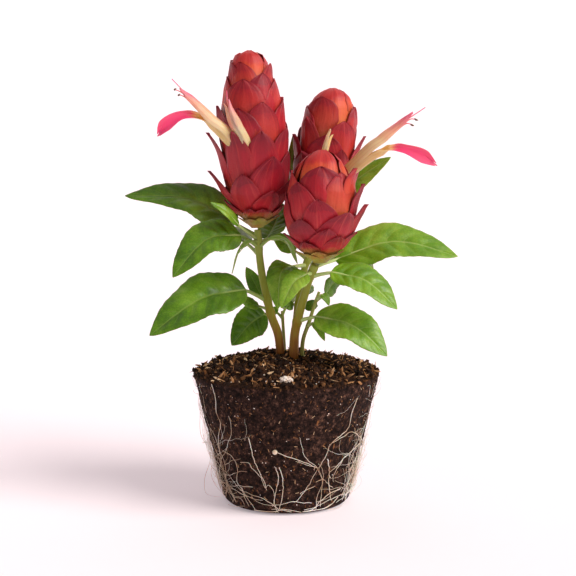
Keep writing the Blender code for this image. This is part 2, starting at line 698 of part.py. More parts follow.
def lip_half_width(width):
    """A strap that widens to a rounded end."""
    def half_width(share):
        return 0.5 * width * (0.62 + 0.38 * share) * min(1.0, (1.0 - share) * 5.0) ** 0.5
    return half_width


def build_flower(name):
    """The tube of the corolla with its hood, lip and style joined on."""
    flower = FLOWERS[name]
    facing = Vector(flower["facing"]).normalized()
    corolla = tube(name, flower["tube"], flower["radii"], TUBE, sides=8, steps=5)
    grid = blade_rows(flower["hood"], lip_half_width(flower["hood_width"] * MM), facing, 4, 4, -0.35, 0.0)
    joined = [sheet("hood", grid, LIP_THICKNESS, TUBE)]
    if flower["lip"]:
        grid = blade_rows(flower["lip"], lip_half_width(flower["lip_width"] * MM), facing, 6, 4, 0.2, 0.1)
        joined.append(sheet("lip", grid, LIP_THICKNESS, TUBE))
    if flower["style"]:
        joined.append(tube("style", flower["style"], [0.5 * MM, 0.4 * MM], TUBE, 4, 5))
    return combine(corolla, joined, "UNION")


def flower_socket(name):
    """A plain round way through the bracts for a flower's tube."""
    flower = FLOWERS[name]
    points, radii = flower["tube"], flower["radii"]
    foot = points[0] - (points[1] - points[0]).normalized() * GAP
    around = [radius + GAP + 0.15 * MM for radius in radii]
    return tube("socket", (foot, points[1], points[2]), around, BRACT, sides=8, steps=5)


# The build

for old in list(bpy.data.objects):
    bpy.data.objects.remove(old)

CHIP_PLACE = (-0.2, -32.6)
CHIP_SIZE = Vector((2.6, 2.2, 1.6)) * MM

root_ball = build_root_ball()
chip_height = mound_height(math.hypot(*CHIP_PLACE) * MM) + 0.5 * MM
chip_centre = Vector((CHIP_PLACE[0] * MM, CHIP_PLACE[1] * MM, chip_height))
lump("perlite_grain", chip_centre, CHIP_SIZE, 0.0, PERLITE)
cutters = [stem_hole(stem) for stem in STEMS]
cutters.append(lump("nest", chip_centre, CHIP_SIZE, GAP, PERLITE))
combine(root_ball, cutters, "DIFFERENCE")
root_ball.data.shade_flat()
build_root_net()

for stem in STEMS:
    build_stem(stem)
for name, stem, height, points, width, facing, options in LEAVES:
    build_leaf(name, stem, height, list(points), width, facing, **options)

for name in SPIKES:
    spike_object = build_spike(name)
    sockets = [flower_socket(flower) for flower in FLOWERS if FLOWERS[flower]["spike"] == name]
    combine(spike_object, sockets, "DIFFERENCE")
for name in FLOWERS:
    build_flower(name)
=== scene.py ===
import math
import random

import bpy
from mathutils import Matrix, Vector, noise


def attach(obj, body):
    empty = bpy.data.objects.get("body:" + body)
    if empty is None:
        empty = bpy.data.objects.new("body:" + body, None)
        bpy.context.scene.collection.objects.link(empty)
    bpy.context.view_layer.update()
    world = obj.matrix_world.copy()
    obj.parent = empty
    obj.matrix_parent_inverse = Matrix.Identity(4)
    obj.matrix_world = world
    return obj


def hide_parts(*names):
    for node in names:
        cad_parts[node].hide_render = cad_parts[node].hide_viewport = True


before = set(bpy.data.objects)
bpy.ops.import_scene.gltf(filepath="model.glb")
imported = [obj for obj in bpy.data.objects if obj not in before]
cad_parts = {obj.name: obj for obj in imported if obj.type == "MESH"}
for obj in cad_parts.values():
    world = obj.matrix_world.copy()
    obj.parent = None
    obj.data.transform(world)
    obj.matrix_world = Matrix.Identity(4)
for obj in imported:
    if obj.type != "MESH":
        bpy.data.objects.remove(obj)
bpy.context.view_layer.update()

# The studio: a pale sheet that curves up behind the plant, one broad soft lamp at the right and
# pale light from all round, and a long lens that looks slightly down.

MM = 0.001


def srgb(code):
    """A hex colour as the linear colour that the shaders take."""
    channels = [int(code[place:place + 2], 16) / 255 for place in (1, 3, 5)]
    return (*[c / 12.92 if c <= 0.04045 else ((c + 0.055) / 1.055) ** 2.4 for c in channels], 1.0)


def connect(tree, node, values):
    """Sets a node's inputs by name, identifier or number; a socket or a node's result is linked."""
    for key, value in values.items():
        if isinstance(key, int):
            socket = node.inputs[key]
        else:
            socket = next(s for s in node.inputs if key == s.identifier or key == s.name and s.enabled)
        if isinstance(value, bpy.types.Node):
            value = next(result for result in value.outputs if result.enabled)
        if isinstance(value, bpy.types.NodeSocket):
            tree.links.new(value, socket)
        else:
            socket.default_value = value


def add(tree, kind, values=None, stops=None, **settings):
    """Adds a node with its settings, its inputs and the stops of its colour band."""
    node = tree.nodes.new(kind)
    for key, value in settings.items():
        setattr(node, key, value)
    connect(tree, node, values or {})
    if stops:
        band = node.color_ramp
        while len(band.elements) < len(stops):
            band.elements.new(0.5)
        for element, (place, colour) in zip(band.elements, stops):
            element.position = place
            element.color = srgb(colour)
    return node


def new_material(name, roughness, **fixed):
    """A material with its tree, its Principled shader and the shader's constant values."""
    made = bpy.data.materials.new(name)
    made.use_nodes = True
    tree = made.node_tree
    shader = tree.nodes["Principled BSDF"]
    shader.inputs["Roughness"].default_value = roughness
    for key, value in fixed.items():
        shader.inputs[key.replace("_", " ")].default_value = value
    return made, tree, shader


# In metres: the sheet's front edge, where its bend starts, the radius of that, its top and half its width
SHEET_NEAR, SHEET_BEND_FROM, SHEET_BEND, SHEET_TALL, SHEET_HALF = -1.6, 0.9, 0.7, 2.6, 3.0
BEND_STEPS = 16

# Matt studio paper, lit through a little so that its shadows stay pale.
paper, tree, shader = new_material("matt_backdrop_paper", 0.95, Base_Color=srgb("#ebe1e5"),
                                   Specular_IOR_Level=0.1, Emission_Color=srgb("#fff0f5"),
                                   Emission_Strength=0.29)
profile = [(SHEET_NEAR, 0.0), (SHEET_BEND_FROM, 0.0)]
for step in range(1, BEND_STEPS + 1):
    turn = math.pi / 2 * step / BEND_STEPS
    profile.append((SHEET_BEND_FROM + SHEET_BEND * math.sin(turn), SHEET_BEND - SHEET_BEND * math.cos(turn)))
profile.append((SHEET_BEND_FROM + SHEET_BEND, SHEET_TALL))
points = [(x, y, z) for y, z in profile for x in (-SHEET_HALF, SHEET_HALF)]
faces = [(2 * n, 2 * n + 1, 2 * n + 3, 2 * n + 2) for n in range(len(profile) - 1)]
mesh = bpy.data.meshes.new("backdrop")
mesh.from_pydata(points, [], faces)
mesh.materials.append(paper)
mesh.shade_smooth()
backdrop = bpy.data.objects.new("backdrop", mesh)
bpy.context.scene.collection.objects.link(backdrop)

world = bpy.data.worlds.new("studio")
world.use_nodes = True
connect(world.node_tree, world.node_tree.nodes["Background"], {"Color": srgb("#fffafc"), "Strength": 0.30})
bpy.context.scene.world = world

lamp = bpy.data.lights.new("broad_lamp", "SUN")
lamp.energy = 3.0
lamp.angle = math.radians(38)
lamp.color = srgb("#fffaf4")[:3]
key = bpy.data.objects.new("broad_lamp", lamp)
key.rotation_euler = (math.radians(50), 0, math.radians(62))
bpy.context.scene.collection.objects.link(key)

bpy.context.scene.view_settings.view_transform = "Standard"

LOOKS_DOWN = 6.03
lens = bpy.data.cameras.new("camera")
lens.lens = 75.4
lens.sensor_width = 36
lens.clip_start = 0.01
camera = bpy.data.objects.new("camera", lens)
camera.location = (0.0006, -0.490, 0.1394)
camera.rotation_euler = (math.radians(90 - LOOKS_DOWN), 0, 0)
bpy.context.scene.collection.objects.link(camera)
bpy.context.scene.camera = camera

# The plug: moist peat with bark and perlite, which holds the shape of the nursery pot. Its side was
# pressed smooth by the pot's wall, and its top is a loose crumbly mound.

# In millimetres: radius of the top, of the foot and of the flat it rests on, then the heights and relief
PLUG_TOP = 38.0
PLUG_FOOT = 25.5
PLUG_SEAT = 23.0
PLUG_TALL = 53.0
PLUG_EDGE = 2.5
MOUND = 7.2
SIDE_RELIEF = 0.35
CRUMB_RELIEF = 1.5
RIM_BAND = 2.0
RING_SPACING = 0.5
MOUND_RINGS = 72
AROUND = 400


def side_radius(height):
    """The plug's radius in millimetres at a height, rounded at the foot."""
    radius = PLUG_FOOT + (PLUG_TOP - PLUG_FOOT) / PLUG_TALL * height
    if height < PLUG_EDGE:
        drop = 1.0 - height / PLUG_EDGE
        radius -= (PLUG_FOOT - PLUG_SEAT) * (1.0 - math.sqrt(1.0 - drop * drop))
    return radius


def mound_height(radius):
    """The height of the mound's top in millimetres at a distance from its middle."""
    return PLUG_TALL + MOUND * (1.0 - min(radius / PLUG_TOP, 1.0) ** 2)


def piece(name, points, faces, finish, replaced=(), marks=None):
    """A finished piece from points in metres; marks are named vectors at its points."""
    made = bpy.data.meshes.new(name)
    made.from_pydata([tuple(point) for point in points], [], faces)
    for title, values in (marks or {}).items():
        layer = made.attributes.new(title, "FLOAT_VECTOR", "POINT")
        layer.data.foreach_set("vector", [number for value in values for number in value])
    return dress(name, made, finish, replaced)


def dress(name, made, finish, replaced=(), smooth=True):
    """Makes a mesh an object with its finish and body, in place of the CAD nodes that it stands for."""
    made.name = name
    made.materials.clear()
    made.materials.append(finish)
    if smooth:
        made.shade_smooth()
    else:
        made.shade_flat()
    body = bpy.data.objects.new(name, made)
    bpy.context.scene.collection.objects.link(body)
    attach(body, "root")
    if replaced:
        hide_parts(*replaced)
    return body


# Moist peat: nearly black brown and wholly matt, in grains of about 2 mm, with rust-brown fibre of
# about 1 mm in it. It is browner and drier where it lies loose on the mound.
peat, tree, shader = new_material("moist_peat", 0.95, Specular_IOR_Level=0.15)
where = add(tree, "ShaderNodeTexCoord").outputs["Object"]
grain = add(tree, "ShaderNodeTexNoise", {"Vector": where, "Scale": 420.0, "Detail": 8.0, "Roughness": 0.82})
body_colour = add(tree, "ShaderNodeValToRGB", {0: grain},
                  stops=[(0.38, "#080403"), (0.47, "#20130f"), (0.56, "#3c2822"), (0.65, "#7a5847")])
stretch = add(tree, "ShaderNodeMapping", {"Vector": where, "Rotation": (0.5, 0.3, 0.2),
                                          "Scale": (1, 1, 0.45)})
fibre = add(tree, "ShaderNodeTexNoise", {"Vector": stretch, "Scale": 900.0, "Detail": 2.0})
fleck = add(tree, "ShaderNodeMapRange", {"Value": fibre, "From Min": 0.66, "From Max": 0.74})
flecked = add(tree, "ShaderNodeMix", {"Factor_Float": fleck, "A_Color": body_colour,
                                      "B_Color": srgb("#94603a")}, data_type="RGBA")
height = add(tree, "ShaderNodeSeparateXYZ", {0: where}).outputs["Z"]
loose = add(tree, "ShaderNodeMapRange", {"Value": height, "From Min": 52.2 * MM, "From Max": 53.0 * MM})
top_colour = add(tree, "ShaderNodeValToRGB", {0: grain},
                 stops=[(0.35, "#0e0704"), (0.5, "#28160c"), (0.62, "#4a2d18"), (0.78, "#7d5630")])
both = add(tree, "ShaderNodeMix", {"Factor_Float": loose, "A_Color": flecked,
                                   "B_Color": top_colour}, data_type="RGBA")
pits = add(tree, "ShaderNodeTexNoise", {"Vector": where, "Scale": 1500.0, "Detail": 4.0})
bump = add(tree, "ShaderNodeBump", {"Height": pits, "Strength": 1.0, "Distance": 0.7 * MM})
connect(tree, shader, {"Base Color": both, "Normal": bump})

profile = [(PLUG_SEAT, 0.0, 0.0)]
side_rings = round(PLUG_TALL / RING_SPACING)
profile += [(side_radius(n * RING_SPACING), n * RING_SPACING, SIDE_RELIEF) for n in range(1, side_rings)]
inward = [PLUG_TOP * (1 - n / MOUND_RINGS) for n in range(MOUND_RINGS)]
profile += [(radius, mound_height(radius), CRUMB_RELIEF) for radius in inward]
points = []
for radius, height, relief in profile:
    for segment in range(AROUND):
        turn = 2 * math.pi * segment / AROUND
        place = Vector((math.cos(turn) * radius, math.sin(turn) * radius, height))
        rough = noise.noise(place * 0.16) + 0.8 * noise.noise(place * 0.45) + 0.55 * noise.noise(place * 1.1)
        if height < PLUG_TALL:
            rim = max(0.0, 1.0 - (PLUG_TALL - height) / RIM_BAND)
            out = relief * rough * min(1.0, height / PLUG_EDGE) * (1.0 + rim)
            outer = radius + out
            points.append(Vector((math.cos(turn) * outer, math.sin(turn) * outer,
                                  height + 0.5 * rim * rough)) * MM)
        else:
            inside = min(1.0, (PLUG_TOP - radius) / RIM_BAND)
            points.append((place + Vector((0, 0, relief * rough * (0.35 + 0.65 * inside)))) * MM)
faces = [tuple(reversed(range(AROUND)))]
for ring in range(len(profile) - 1):
    for segment in range(AROUND):
        here = ring * AROUND + segment
        beside = ring * AROUND + (segment + 1) % AROUND
        faces.append((here, beside, beside + AROUND, here + AROUND))
last = (len(profile) - 1) * AROUND
points.append(Vector((0, 0, PLUG_TALL + MOUND)) * MM)
faces += [(last + n, last + (n + 1) % AROUND, len(points) - 1) for n in range(AROUND)]
plug = piece("potting_plug", points, faces, peat, ["root_ball"])

# What lies loose in and on the mix: crumbs of peat, splinters of bark and shreds of fibre over the
# mound, and white specks of perlite and bits of fibre that the pot pressed into the side.


def grain_shape(name, stretch, rough):
    """One broken grain of twenty faces, about a millimetre across."""
    bpy.ops.mesh.primitive_ico_sphere_add(subdivisions=1, radius=0.5 * MM)
    grain = bpy.context.object
    grain.name = name
    for number, vertex in enumerate(grain.data.vertices):
        size = 1.0 + rough * noise.noise(vertex.co * 900.0 + Vector((number, 0, 0)))
        vertex.co = Vector([vertex.co[axis] * stretch[axis] * size for axis in range(3)])
    return grain


def scatter_tree(name, finish):
    """Grains scattered over the faces of the host between two heights, each with a tone of its own."""
    tree = bpy.data.node_groups.new(name, "GeometryNodeTree")
    face = tree.interface
    face.new_socket("Geometry", in_out="OUTPUT", socket_type="NodeSocketGeometry")
    face.new_socket("Geometry", in_out="INPUT", socket_type="NodeSocketGeometry")
    face.new_socket("Grain", in_out="INPUT", socket_type="NodeSocketObject")
    for title in ("Per square metre", "Lowest", "Highest", "Smallest", "Largest", "Tumble"):
        face.new_socket(title, in_out="INPUT", socket_type="NodeSocketFloat")
    face.new_socket("Seed", in_out="INPUT", socket_type="NodeSocketInt")
    given = tree.nodes.new("NodeGroupInput").outputs
    height = add(tree, "ShaderNodeSeparateXYZ", {0: add(tree, "GeometryNodeInputPosition")})
    above = add(tree, "FunctionNodeCompare", {"A": height.outputs[2], "B": given["Lowest"]},
                operation="GREATER_THAN")
    below = add(tree, "FunctionNodeCompare", {"A": height.outputs[2], "B": given["Highest"]},
                operation="LESS_THAN")
    within = add(tree, "FunctionNodeBooleanMath", {0: above, 1: below})
    spread = add(tree, "GeometryNodeDistributePointsOnFaces",
                 {"Mesh": given["Geometry"], "Selection": within,
                  "Density": given["Per square metre"], "Seed": given["Seed"]})
    tipped = add(tree, "ShaderNodeCombineXYZ", {0: given["Tumble"], 1: given["Tumble"], 2: math.pi})
    tipped_back = add(tree, "ShaderNodeVectorMath", {0: tipped, 1: (-1, -1, -1)}, operation="MULTIPLY")
    roll = add(tree, "FunctionNodeRandomValue", {"Min": tipped_back, "Max": tipped,
                                                 "Seed": given["Seed"]}, data_type="FLOAT_VECTOR")
    rolled = add(tree, "FunctionNodeEulerToRotation", {0: roll})
    turned = add(tree, "FunctionNodeRotateRotation", {0: spread.outputs["Rotation"], 1: rolled},
                 rotation_space="LOCAL")
    size = add(tree, "FunctionNodeRandomValue", {"Min_001": given["Smallest"], "Max_001": given["Largest"],
                                                 "Seed": given["Seed"]})
    shape = add(tree, "GeometryNodeObjectInfo", {"Object": given["Grain"]})
    placed = add(tree, "GeometryNodeInstanceOnPoints",
                 {"Points": spread.outputs["Points"], "Instance": shape.outputs["Geometry"],
                  "Rotation": turned, "Scale": size})
    tone = add(tree, "FunctionNodeRandomValue", {"Seed": 5})
    toned = add(tree, "GeometryNodeStoreNamedAttribute",
                {"Geometry": placed, "Name": "tone", "Value": tone},
                domain="INSTANCE")
    real = add(tree, "GeometryNodeRealizeInstances", {0: toned})
    done = add(tree, "GeometryNodeSetMaterial", {"Geometry": real, "Material": finish})
    connect(tree, tree.nodes.new("NodeGroupOutput"), {0: done})
    return tree


def grown(host, tree, inputs):
    """The plain mesh that a node tree makes on a host."""
    modifier = host.modifiers.new("grow", "NODES")
    modifier.node_group = tree
    for socket in tree.interface.items_tree:
        if socket.name in inputs and socket.in_out == "INPUT":
            modifier[socket.identifier] = inputs[socket.name]
    graph = bpy.context.evaluated_depsgraph_get()
    result = bpy.data.meshes.new_from_object(host.evaluated_get(graph), preserve_all_data_layers=True,
                                             depsgraph=graph)
    host.modifiers.remove(modifier)
    return result


# Crumbs of peat, torn bark, pale fibre and perlite: matt, each grain a tone of its own, with a mottle
# of about half a millimetre.
GRAINS = (
    # finish, stops of its tone, slot, and for each piece: its name, the size of a grain across, along
    # and through, the roughness of its shape, and the grains per square metre, the lowest and the
    # highest height, the smallest and the largest scale, the tumble in radians and the seed
    ("peat_crumb", ((0.0, "#130a06"), (0.55, "#2c190f"), (0.85, "#4c2f1b"), (1.0, "#6d4a2c")), "peat", (
        ("mound_crumbs", (1.0, 0.9, 0.75), 0.8, (420000, 53.2, 62.0, 0.8, 3.0, 3.1, 11)),
        ("rim_crumbs", (1.0, 0.8, 0.7), 0.8, (420000, 51.8, 53.6, 0.4, 1.3, 3.1, 12)),
        ("side_crumbs", (1.0, 0.9, 0.35), 0.8, (110000, 2.0, 52.0, 0.5, 1.5, 0.3, 13)),
    )),
    ("shredded_bark", ((0.0, "#5c3719"), (0.4, "#96663e"), (0.75, "#c6966a"), (1.0, "#e8c8a2")), "peat", (
        ("mound_chips", (2.6, 0.9, 0.4), 0.9, (78000, 53.2, 62.0, 0.6, 2.7, 0.9, 21)),
        ("mound_shreds", (6.5, 0.4, 0.35), 0.5, (34000, 53.2, 62.0, 0.5, 1.2, 0.7, 22)),
        ("side_shreds", (2.4, 0.35, 0.2), 0.6, (46000, 3.0, 52.0, 0.4, 1.1, 0.12, 23)),
    )),
    ("perlite_speck", ((0.0, "#d8bfa8"), (0.5, "#efddd3"), (1.0, "#fbf3ec")), "perlite", (
        ("mound_specks", (1.0, 0.8, 0.7), 0.5, (16000, 53.2, 62.0, 0.4, 1.2, 3.1, 31)),
        ("side_specks", (0.9, 0.8, 0.35), 0.5, (15000, 4.0, 52.0, 0.25, 0.85, 0.2, 32)),
    )),
)
for finish_name, tones, slot, kinds in GRAINS:
    finish, tree, shader = new_material(finish_name, 0.92, Specular_IOR_Level=0.2)
    where = add(tree, "ShaderNodeTexCoord").outputs["Object"]
    tone = add(tree, "ShaderNodeAttribute", attribute_name="tone").outputs["Fac"]
    mottle = add(tree, "ShaderNodeTexNoise", {"Vector": where, "Scale": 1800.0, "Detail": 3.0})
    shifted = add(tree, "ShaderNodeMath", {0: mottle, 1: 0.4, 2: -0.2}, operation="MULTIPLY_ADD")
    total = add(tree, "ShaderNodeMath", {0: tone, 1: shifted}, operation="ADD")
    colour = add(tree, "ShaderNodeValToRGB", {0: total}, stops=tones)
    bump = add(tree, "ShaderNodeBump", {"Height": mottle, "Strength": 0.6, "Distance": 0.3 * MM})
    connect(tree, shader, {"Base Color": colour, "Normal": bump})
    strewing = scatter_tree("strewn_" + finish_name, finish)
    for name, stretch, rough, numbers in kinds:
        grain = grain_shape("one_of_" + name, stretch, rough)
        density, low, high, smallest, largest, tumble, seed = numbers
        mesh = grown(plug, strewing, {
            "Grain": grain, "Per square metre": float(density), "Lowest": low * MM, "Highest": high * MM,
            "Smallest": smallest, "Largest": largest, "Tumble": tumble, "Seed": seed})
        bpy.data.objects.remove(grain)
        dress(name, mesh, finish, smooth=False)

# The large grain of perlite: puffed volcanic glass, white and full of pits. It lies loose at the
# front of the mound.

CHIP = Vector((-0.2, -32.6, mound_height(32.6) + 0.5))
CHIP_SIZE = (2.6, 2.2, 1.6)


def taken(ball):
    """The points and faces of a ready-made ball, which is removed."""
    points = [vertex.co.copy() for vertex in ball.data.vertices]
    faces = [tuple(polygon.vertices) for polygon in ball.data.polygons]
    bpy.data.objects.remove(ball)
    return points, faces


bpy.ops.mesh.primitive_ico_sphere_add(subdivisions=5, radius=1.0)
ways, faces = taken(bpy.context.object)
points = []
for way in ways:
    way.normalize()
    size = 1.0 + 0.22 * noise.noise(way * 2.3) + 0.07 * noise.noise(way * 6) + 0.03 * noise.noise(way * 17)
    points.append((CHIP + Vector([way[axis] * CHIP_SIZE[axis] * size for axis in range(3)])) * MM)

# Expanded perlite: chalky white with a faint warm stain from the peat, and pits of about 0.7 mm.
perlite, tree, shader = new_material("expanded_perlite", 0.85, Specular_IOR_Level=0.3)
where = add(tree, "ShaderNodeTexCoord").outputs["Object"]
stain = add(tree, "ShaderNodeTexNoise", {"Vector": where, "Scale": 800.0, "Detail": 4.0})
colour = add(tree, "ShaderNodeValToRGB", {0: stain},
             stops=[(0.3, "#b89a80"), (0.45, "#e6d3c4"), (0.6, "#f8efe6")])
pits = add(tree, "ShaderNodeTexVoronoi", {"Vector": where, "Scale": 1400.0})
bump = add(tree, "ShaderNodeBump", {"Height": pits, "Strength": 0.7, "Distance": 0.4 * MM})
connect(tree, shader, {"Base Color": colour, "Normal": bump})
piece("large_perlite_grain", points, faces, perlite, ["perlite_grain"])

# The roots: cream threads that followed the pot's wall, circle its foot and fork as they run, with
# fine feeding roots that stand off the side like fluff.

random.seed(41)
ROOT_STEP = 1.6
ROOT_HIGHEST = 51.0
FINE_ROOTS = 64
FOOT_ROOTS = 7
FLUFF_HAIRS = 290
NAMED_ROOTS = (
    # four times the radius in millimetres, then turns round the plug in degrees and heights
    (0.55, ((-140, 52.4), (-139, 46.7), (-141, 40.6), (-139, 36.1), (-145, 30.2), (-148, 24.5), (-149, 19),
            (-148, 13.7), (-146, 8), (-140, 3.5))),
    (0.5, ((-143, 24.7), (-136, 23.7), (-131, 21.6), (-130, 17.7), (-133, 12.6), (-129, 9.5), (-127, 5.6),
           (-124, 2.6))),
    (0.45, ((-150, 13.9), (-143, 14.1), (-136, 15.3), (-128, 17.4), (-121, 17.7))),
    (0.5, ((-126, 21.3), (-119, 21.8), (-116, 19.4), (-110, 16.3), (-107, 11.7), (-104, 13.2), (-100, 9.9),
           (-100, 6.5), (-102, 3.6))),
    (0.65, ((-116, 32.4), (-115, 27.5), (-114, 23.6), (-111, 19), (-107, 13.8), (-106, 10.7))),
    (0.55, ((-98, 20.8), (-96, 16.1), (-98, 11.3), (-100, 6.5), (-99, 3), (-97, 1.5))),
    (0.6, ((-95, 20.8), (-93, 16.1), (-93, 10), (-96, 3.1), (-100, 1.6))),
    (0.55, ((-96, 26.6), (-89, 25.3), (-81, 23.5), (-70, 20.7), (-69, 19))),
    (0.62, ((-41, 46.7), (-44, 41.1), (-45, 34.5), (-58, 29.7), (-61, 24.6), (-68, 17.6), (-73, 12.4),
            (-81, 6.5), (-85, 6))),
    (0.6, ((-7, 24.1), (-23, 28.1), (-39, 32.6), (-48, 31.6), (-58, 29.7))),
    (0.75, ((-59, 23.1), (-56, 17.4), (-54, 11.2), (-49, 4.6))),
    (0.6, ((-24, 26.3), (-39, 23.3), (-49, 19.6), (-55, 17.4))),
    (0.5, ((-42, 23), (-51, 15.7), (-50, 12.8))),
    (0.7, ((-23, 20.7), (-30, 14.9), (-28, 7.8), (-25, 2.7))),
    (0.7, ((-39, 8.7), (-51, 7.9), (-60, 5.5), (-66, 2.4), (-76, 1.6))),
    (0.6, ((-40, 5.1), (-49, 2.5), (-58, 1.6))),
    (0.5, ((-67, 12.1), (-76, 10.4), (-79, 9.2))),
    (0.5, ((-67, 13.8), (-61, 14.5), (-56, 12.7), (-50, 10.1))),
    (0.55, ((-129, 10.3), (-126, 7.1), (-118, 1.8))),
    (0.5, ((-147, 9.1), (-141, 5), (-145, 2.5))),
    (0.5, ((-141, 5), (-132, 5.2), (-129, 3))),
    (0.6, ((-119, 1.6), (-103, 1.7), (-94, 2.4), (-86, 1.8))),
    (0.6, ((-76, 1.7), (-66, 1.8), (-56, 1.9), (-47, 3))),
)


def curve_point(points, share):
    """A point on the smooth curve through the given points, share running from 0 to 1."""
    spans = len(points) - 1
    place = min(max(share, 0.0), 1.0) * spans
    span = min(int(place), spans - 1)
    t = place - span
    before = points[span - 1] if span > 0 else points[0] * 2 - points[1]
    after = points[span + 2] if span + 2 <= spans else points[spans] * 2 - points[spans - 1]
    start, end = points[span], points[span + 1]
    return 0.5 * (start * 2 + (end - before) * t + (before * 2 - start * 5 + end * 4 - after) * t ** 2
                  + (start * 3 - before - end * 3 + after) * t ** 3)


def on_side(turn, height, off=0.0):
    """A point off the plug's side, in metres, from a turn in radians and millimetres."""
    radius = side_radius(max(height, PLUG_EDGE)) + off
    return Vector((math.cos(turn) * radius, math.sin(turn) * radius, height)) * MM


def wander(turn, height, heading, length, off, waver=0.35, lift=0.0):
    """A root's wandering way up the side; heading is its slope from upright, lift its bow outward."""
    count = max(5, round(length / ROOT_STEP))
    way = []
    for number in range(count + 1):
        share = number / count
        way.append(on_side(turn, height, off + lift * math.sin(math.pi * share)))
        heading = max(-1.9, min(1.9, heading + random.uniform(-waver, waver)))
        turn += math.sin(heading) * ROOT_STEP / side_radius(max(height, PLUG_EDGE))
        height = max(0.6, min(ROOT_HIGHEST, height + math.cos(heading) * ROOT_STEP))
    return way


threads = []
# The roots that the eye can follow one by one.
for across, way in NAMED_ROOTS:
    coarse = [Vector((math.radians(turn), height, 0)) for turn, height in way]
    count = 6 * (len(coarse) - 1)
    fine = []
    for number in range(count + 1):
        spot = curve_point(coarse, number / count)
        wave = noise.noise(spot * 0.9 + Vector((across * 30, 0, 0)))
        spot += Vector((wave * 0.012, noise.noise(spot * 0.8) * 0.5, 0))
        fine.append(on_side(spot.x, max(spot.y, 0.7), 0.45 + 0.15 * wave))
    threads.append((across * 0.25, 0.7, fine))
# Thinner ones that fork, mostly where the plug's front doesn't show.
for number in range(FINE_ROOTS):
    turn = math.radians(random.uniform(-175, 175))
    facing_camera = math.radians(-150) < turn < math.radians(-30)
    if facing_camera and number % 3:
        continue
    start = random.choice((2.0, 3.0, 5.0, 8.0, 12.0))
    way = wander(turn, start, random.uniform(-1.3, 1.3), random.uniform(14, 42), 0.5)
    threads.append((random.uniform(0.09, 0.16), 0.6, way))
    for _ in range(random.randint(0, 2)):
        fork = way[random.randrange(2, len(way) - 1)]
        heading = random.choice((-1, 1)) * random.uniform(0.7, 1.5)
        side = wander(math.atan2(fork.y, fork.x), fork.z / MM, heading, random.uniform(5, 16), 0.5)
        side[0] = fork
        threads.append((random.uniform(0.06, 0.11), 0.5, side))
# Roots that circle the foot.
for number in range(FOOT_ROOTS):
    base = 2 * math.pi * number / FOOT_ROOTS
    way = [on_side(base + 0.09 * n, 1.6 + 1.2 * math.sin(base * 3 + 0.5 * n), 0.3) for n in range(6)]
    threads.append((random.uniform(0.09, 0.14), 0.7, way))

# Fluff in bundles at both sides, at the back and just round from the front.
fluff = []
FLUFF_TURNS = (math.pi, 0.0, 0.0, math.pi, math.pi / 2, -math.pi / 2 + 1.4, -math.pi / 2 - 1.4)
for number in range(FLUFF_HAIRS):
    centre = random.choice(FLUFF_TURNS)
    turn = centre + random.gauss(0.0, 0.30)
    height = random.choice((random.uniform(2, 24), random.uniform(2, 47)))
    way = wander(turn, height, random.uniform(-1.2, 1.2), random.uniform(5, 19), random.uniform(0.3, 0.9),
                 0.5, abs(random.gauss(0.0, 1.3)))
    fluff.append((random.uniform(0.045, 0.085), 0.6, way))
# Two long hairs that stand off the left side.
LOOSE_LOOPS = (
    # turn in degrees, height and distance off the side
    ((187, 22, 0.6), (187, 16.1, 2.5), (188, 9.6, 6.2), (188, 3.6, 7.4), (184, 1.2, 4.6), (183, 0.6, 1.2)),
    ((187, 41, 0.4), (187, 36.8, 1.4), (187, 30.9, 3.0), (187, 26.9, 3.3), (187, 22.8, 2.0), (186, 19, 0.4)),
)
for loop in LOOSE_LOOPS:
    coarse = [on_side(math.radians(turn), height, off) for turn, height, off in loop]
    fluff.append((0.09, 0.7, [curve_point(coarse, number / 30) for number in range(31)]))


def thread_tree(finish):
    """A round skin over the threads, closed at both ends."""
    tree = bpy.data.node_groups.new("round_threads", "GeometryNodeTree")
    tree.interface.new_socket("Geometry", in_out="OUTPUT", socket_type="NodeSocketGeometry")
    tree.interface.new_socket("Geometry", in_out="INPUT", socket_type="NodeSocketGeometry")
    tree.interface.new_socket("Sides", in_out="INPUT", socket_type="NodeSocketInt")
    given = tree.nodes.new("NodeGroupInput").outputs
    ring = add(tree, "GeometryNodeCurvePrimitiveCircle", {"Resolution": given["Sides"], "Radius": 1.0})
    thick = add(tree, "GeometryNodeInputRadius")
    skin = add(tree, "GeometryNodeCurveToMesh", {"Curve": given["Geometry"], "Profile Curve": ring,
                                                 "Scale": thick, "Fill Caps": True})
    real = add(tree, "GeometryNodeRealizeInstances", {0: skin})
    done = add(tree, "GeometryNodeSetMaterial", {"Geometry": real, "Material": finish})
    connect(tree, tree.nodes.new("NodeGroupOutput"), {0: done})
    return tree


def thread_mesh(bundle, tree, sides):
    """Threads given as radius, share of it at the tip and points, made one mesh."""
    path = bpy.data.curves.new("threads", "CURVE")
    path.dimensions = "3D"
    for radius, taper, way in bundle:
        line = path.splines.new("POLY")
        line.points.add(len(way) - 1)
        for number, spot in enumerate(way):
            line.points[number].co = (*spot, 1.0)
            share = number / (len(way) - 1)
            line.points[number].radius = radius * MM * (1.0 + (taper - 1.0) * share)
    host = bpy.data.objects.new("threads", path)
    bpy.context.scene.collection.objects.link(host)
    mesh = grown(host, tree, {"Sides": sides})
    bpy.data.objects.remove(host)
    return mesh


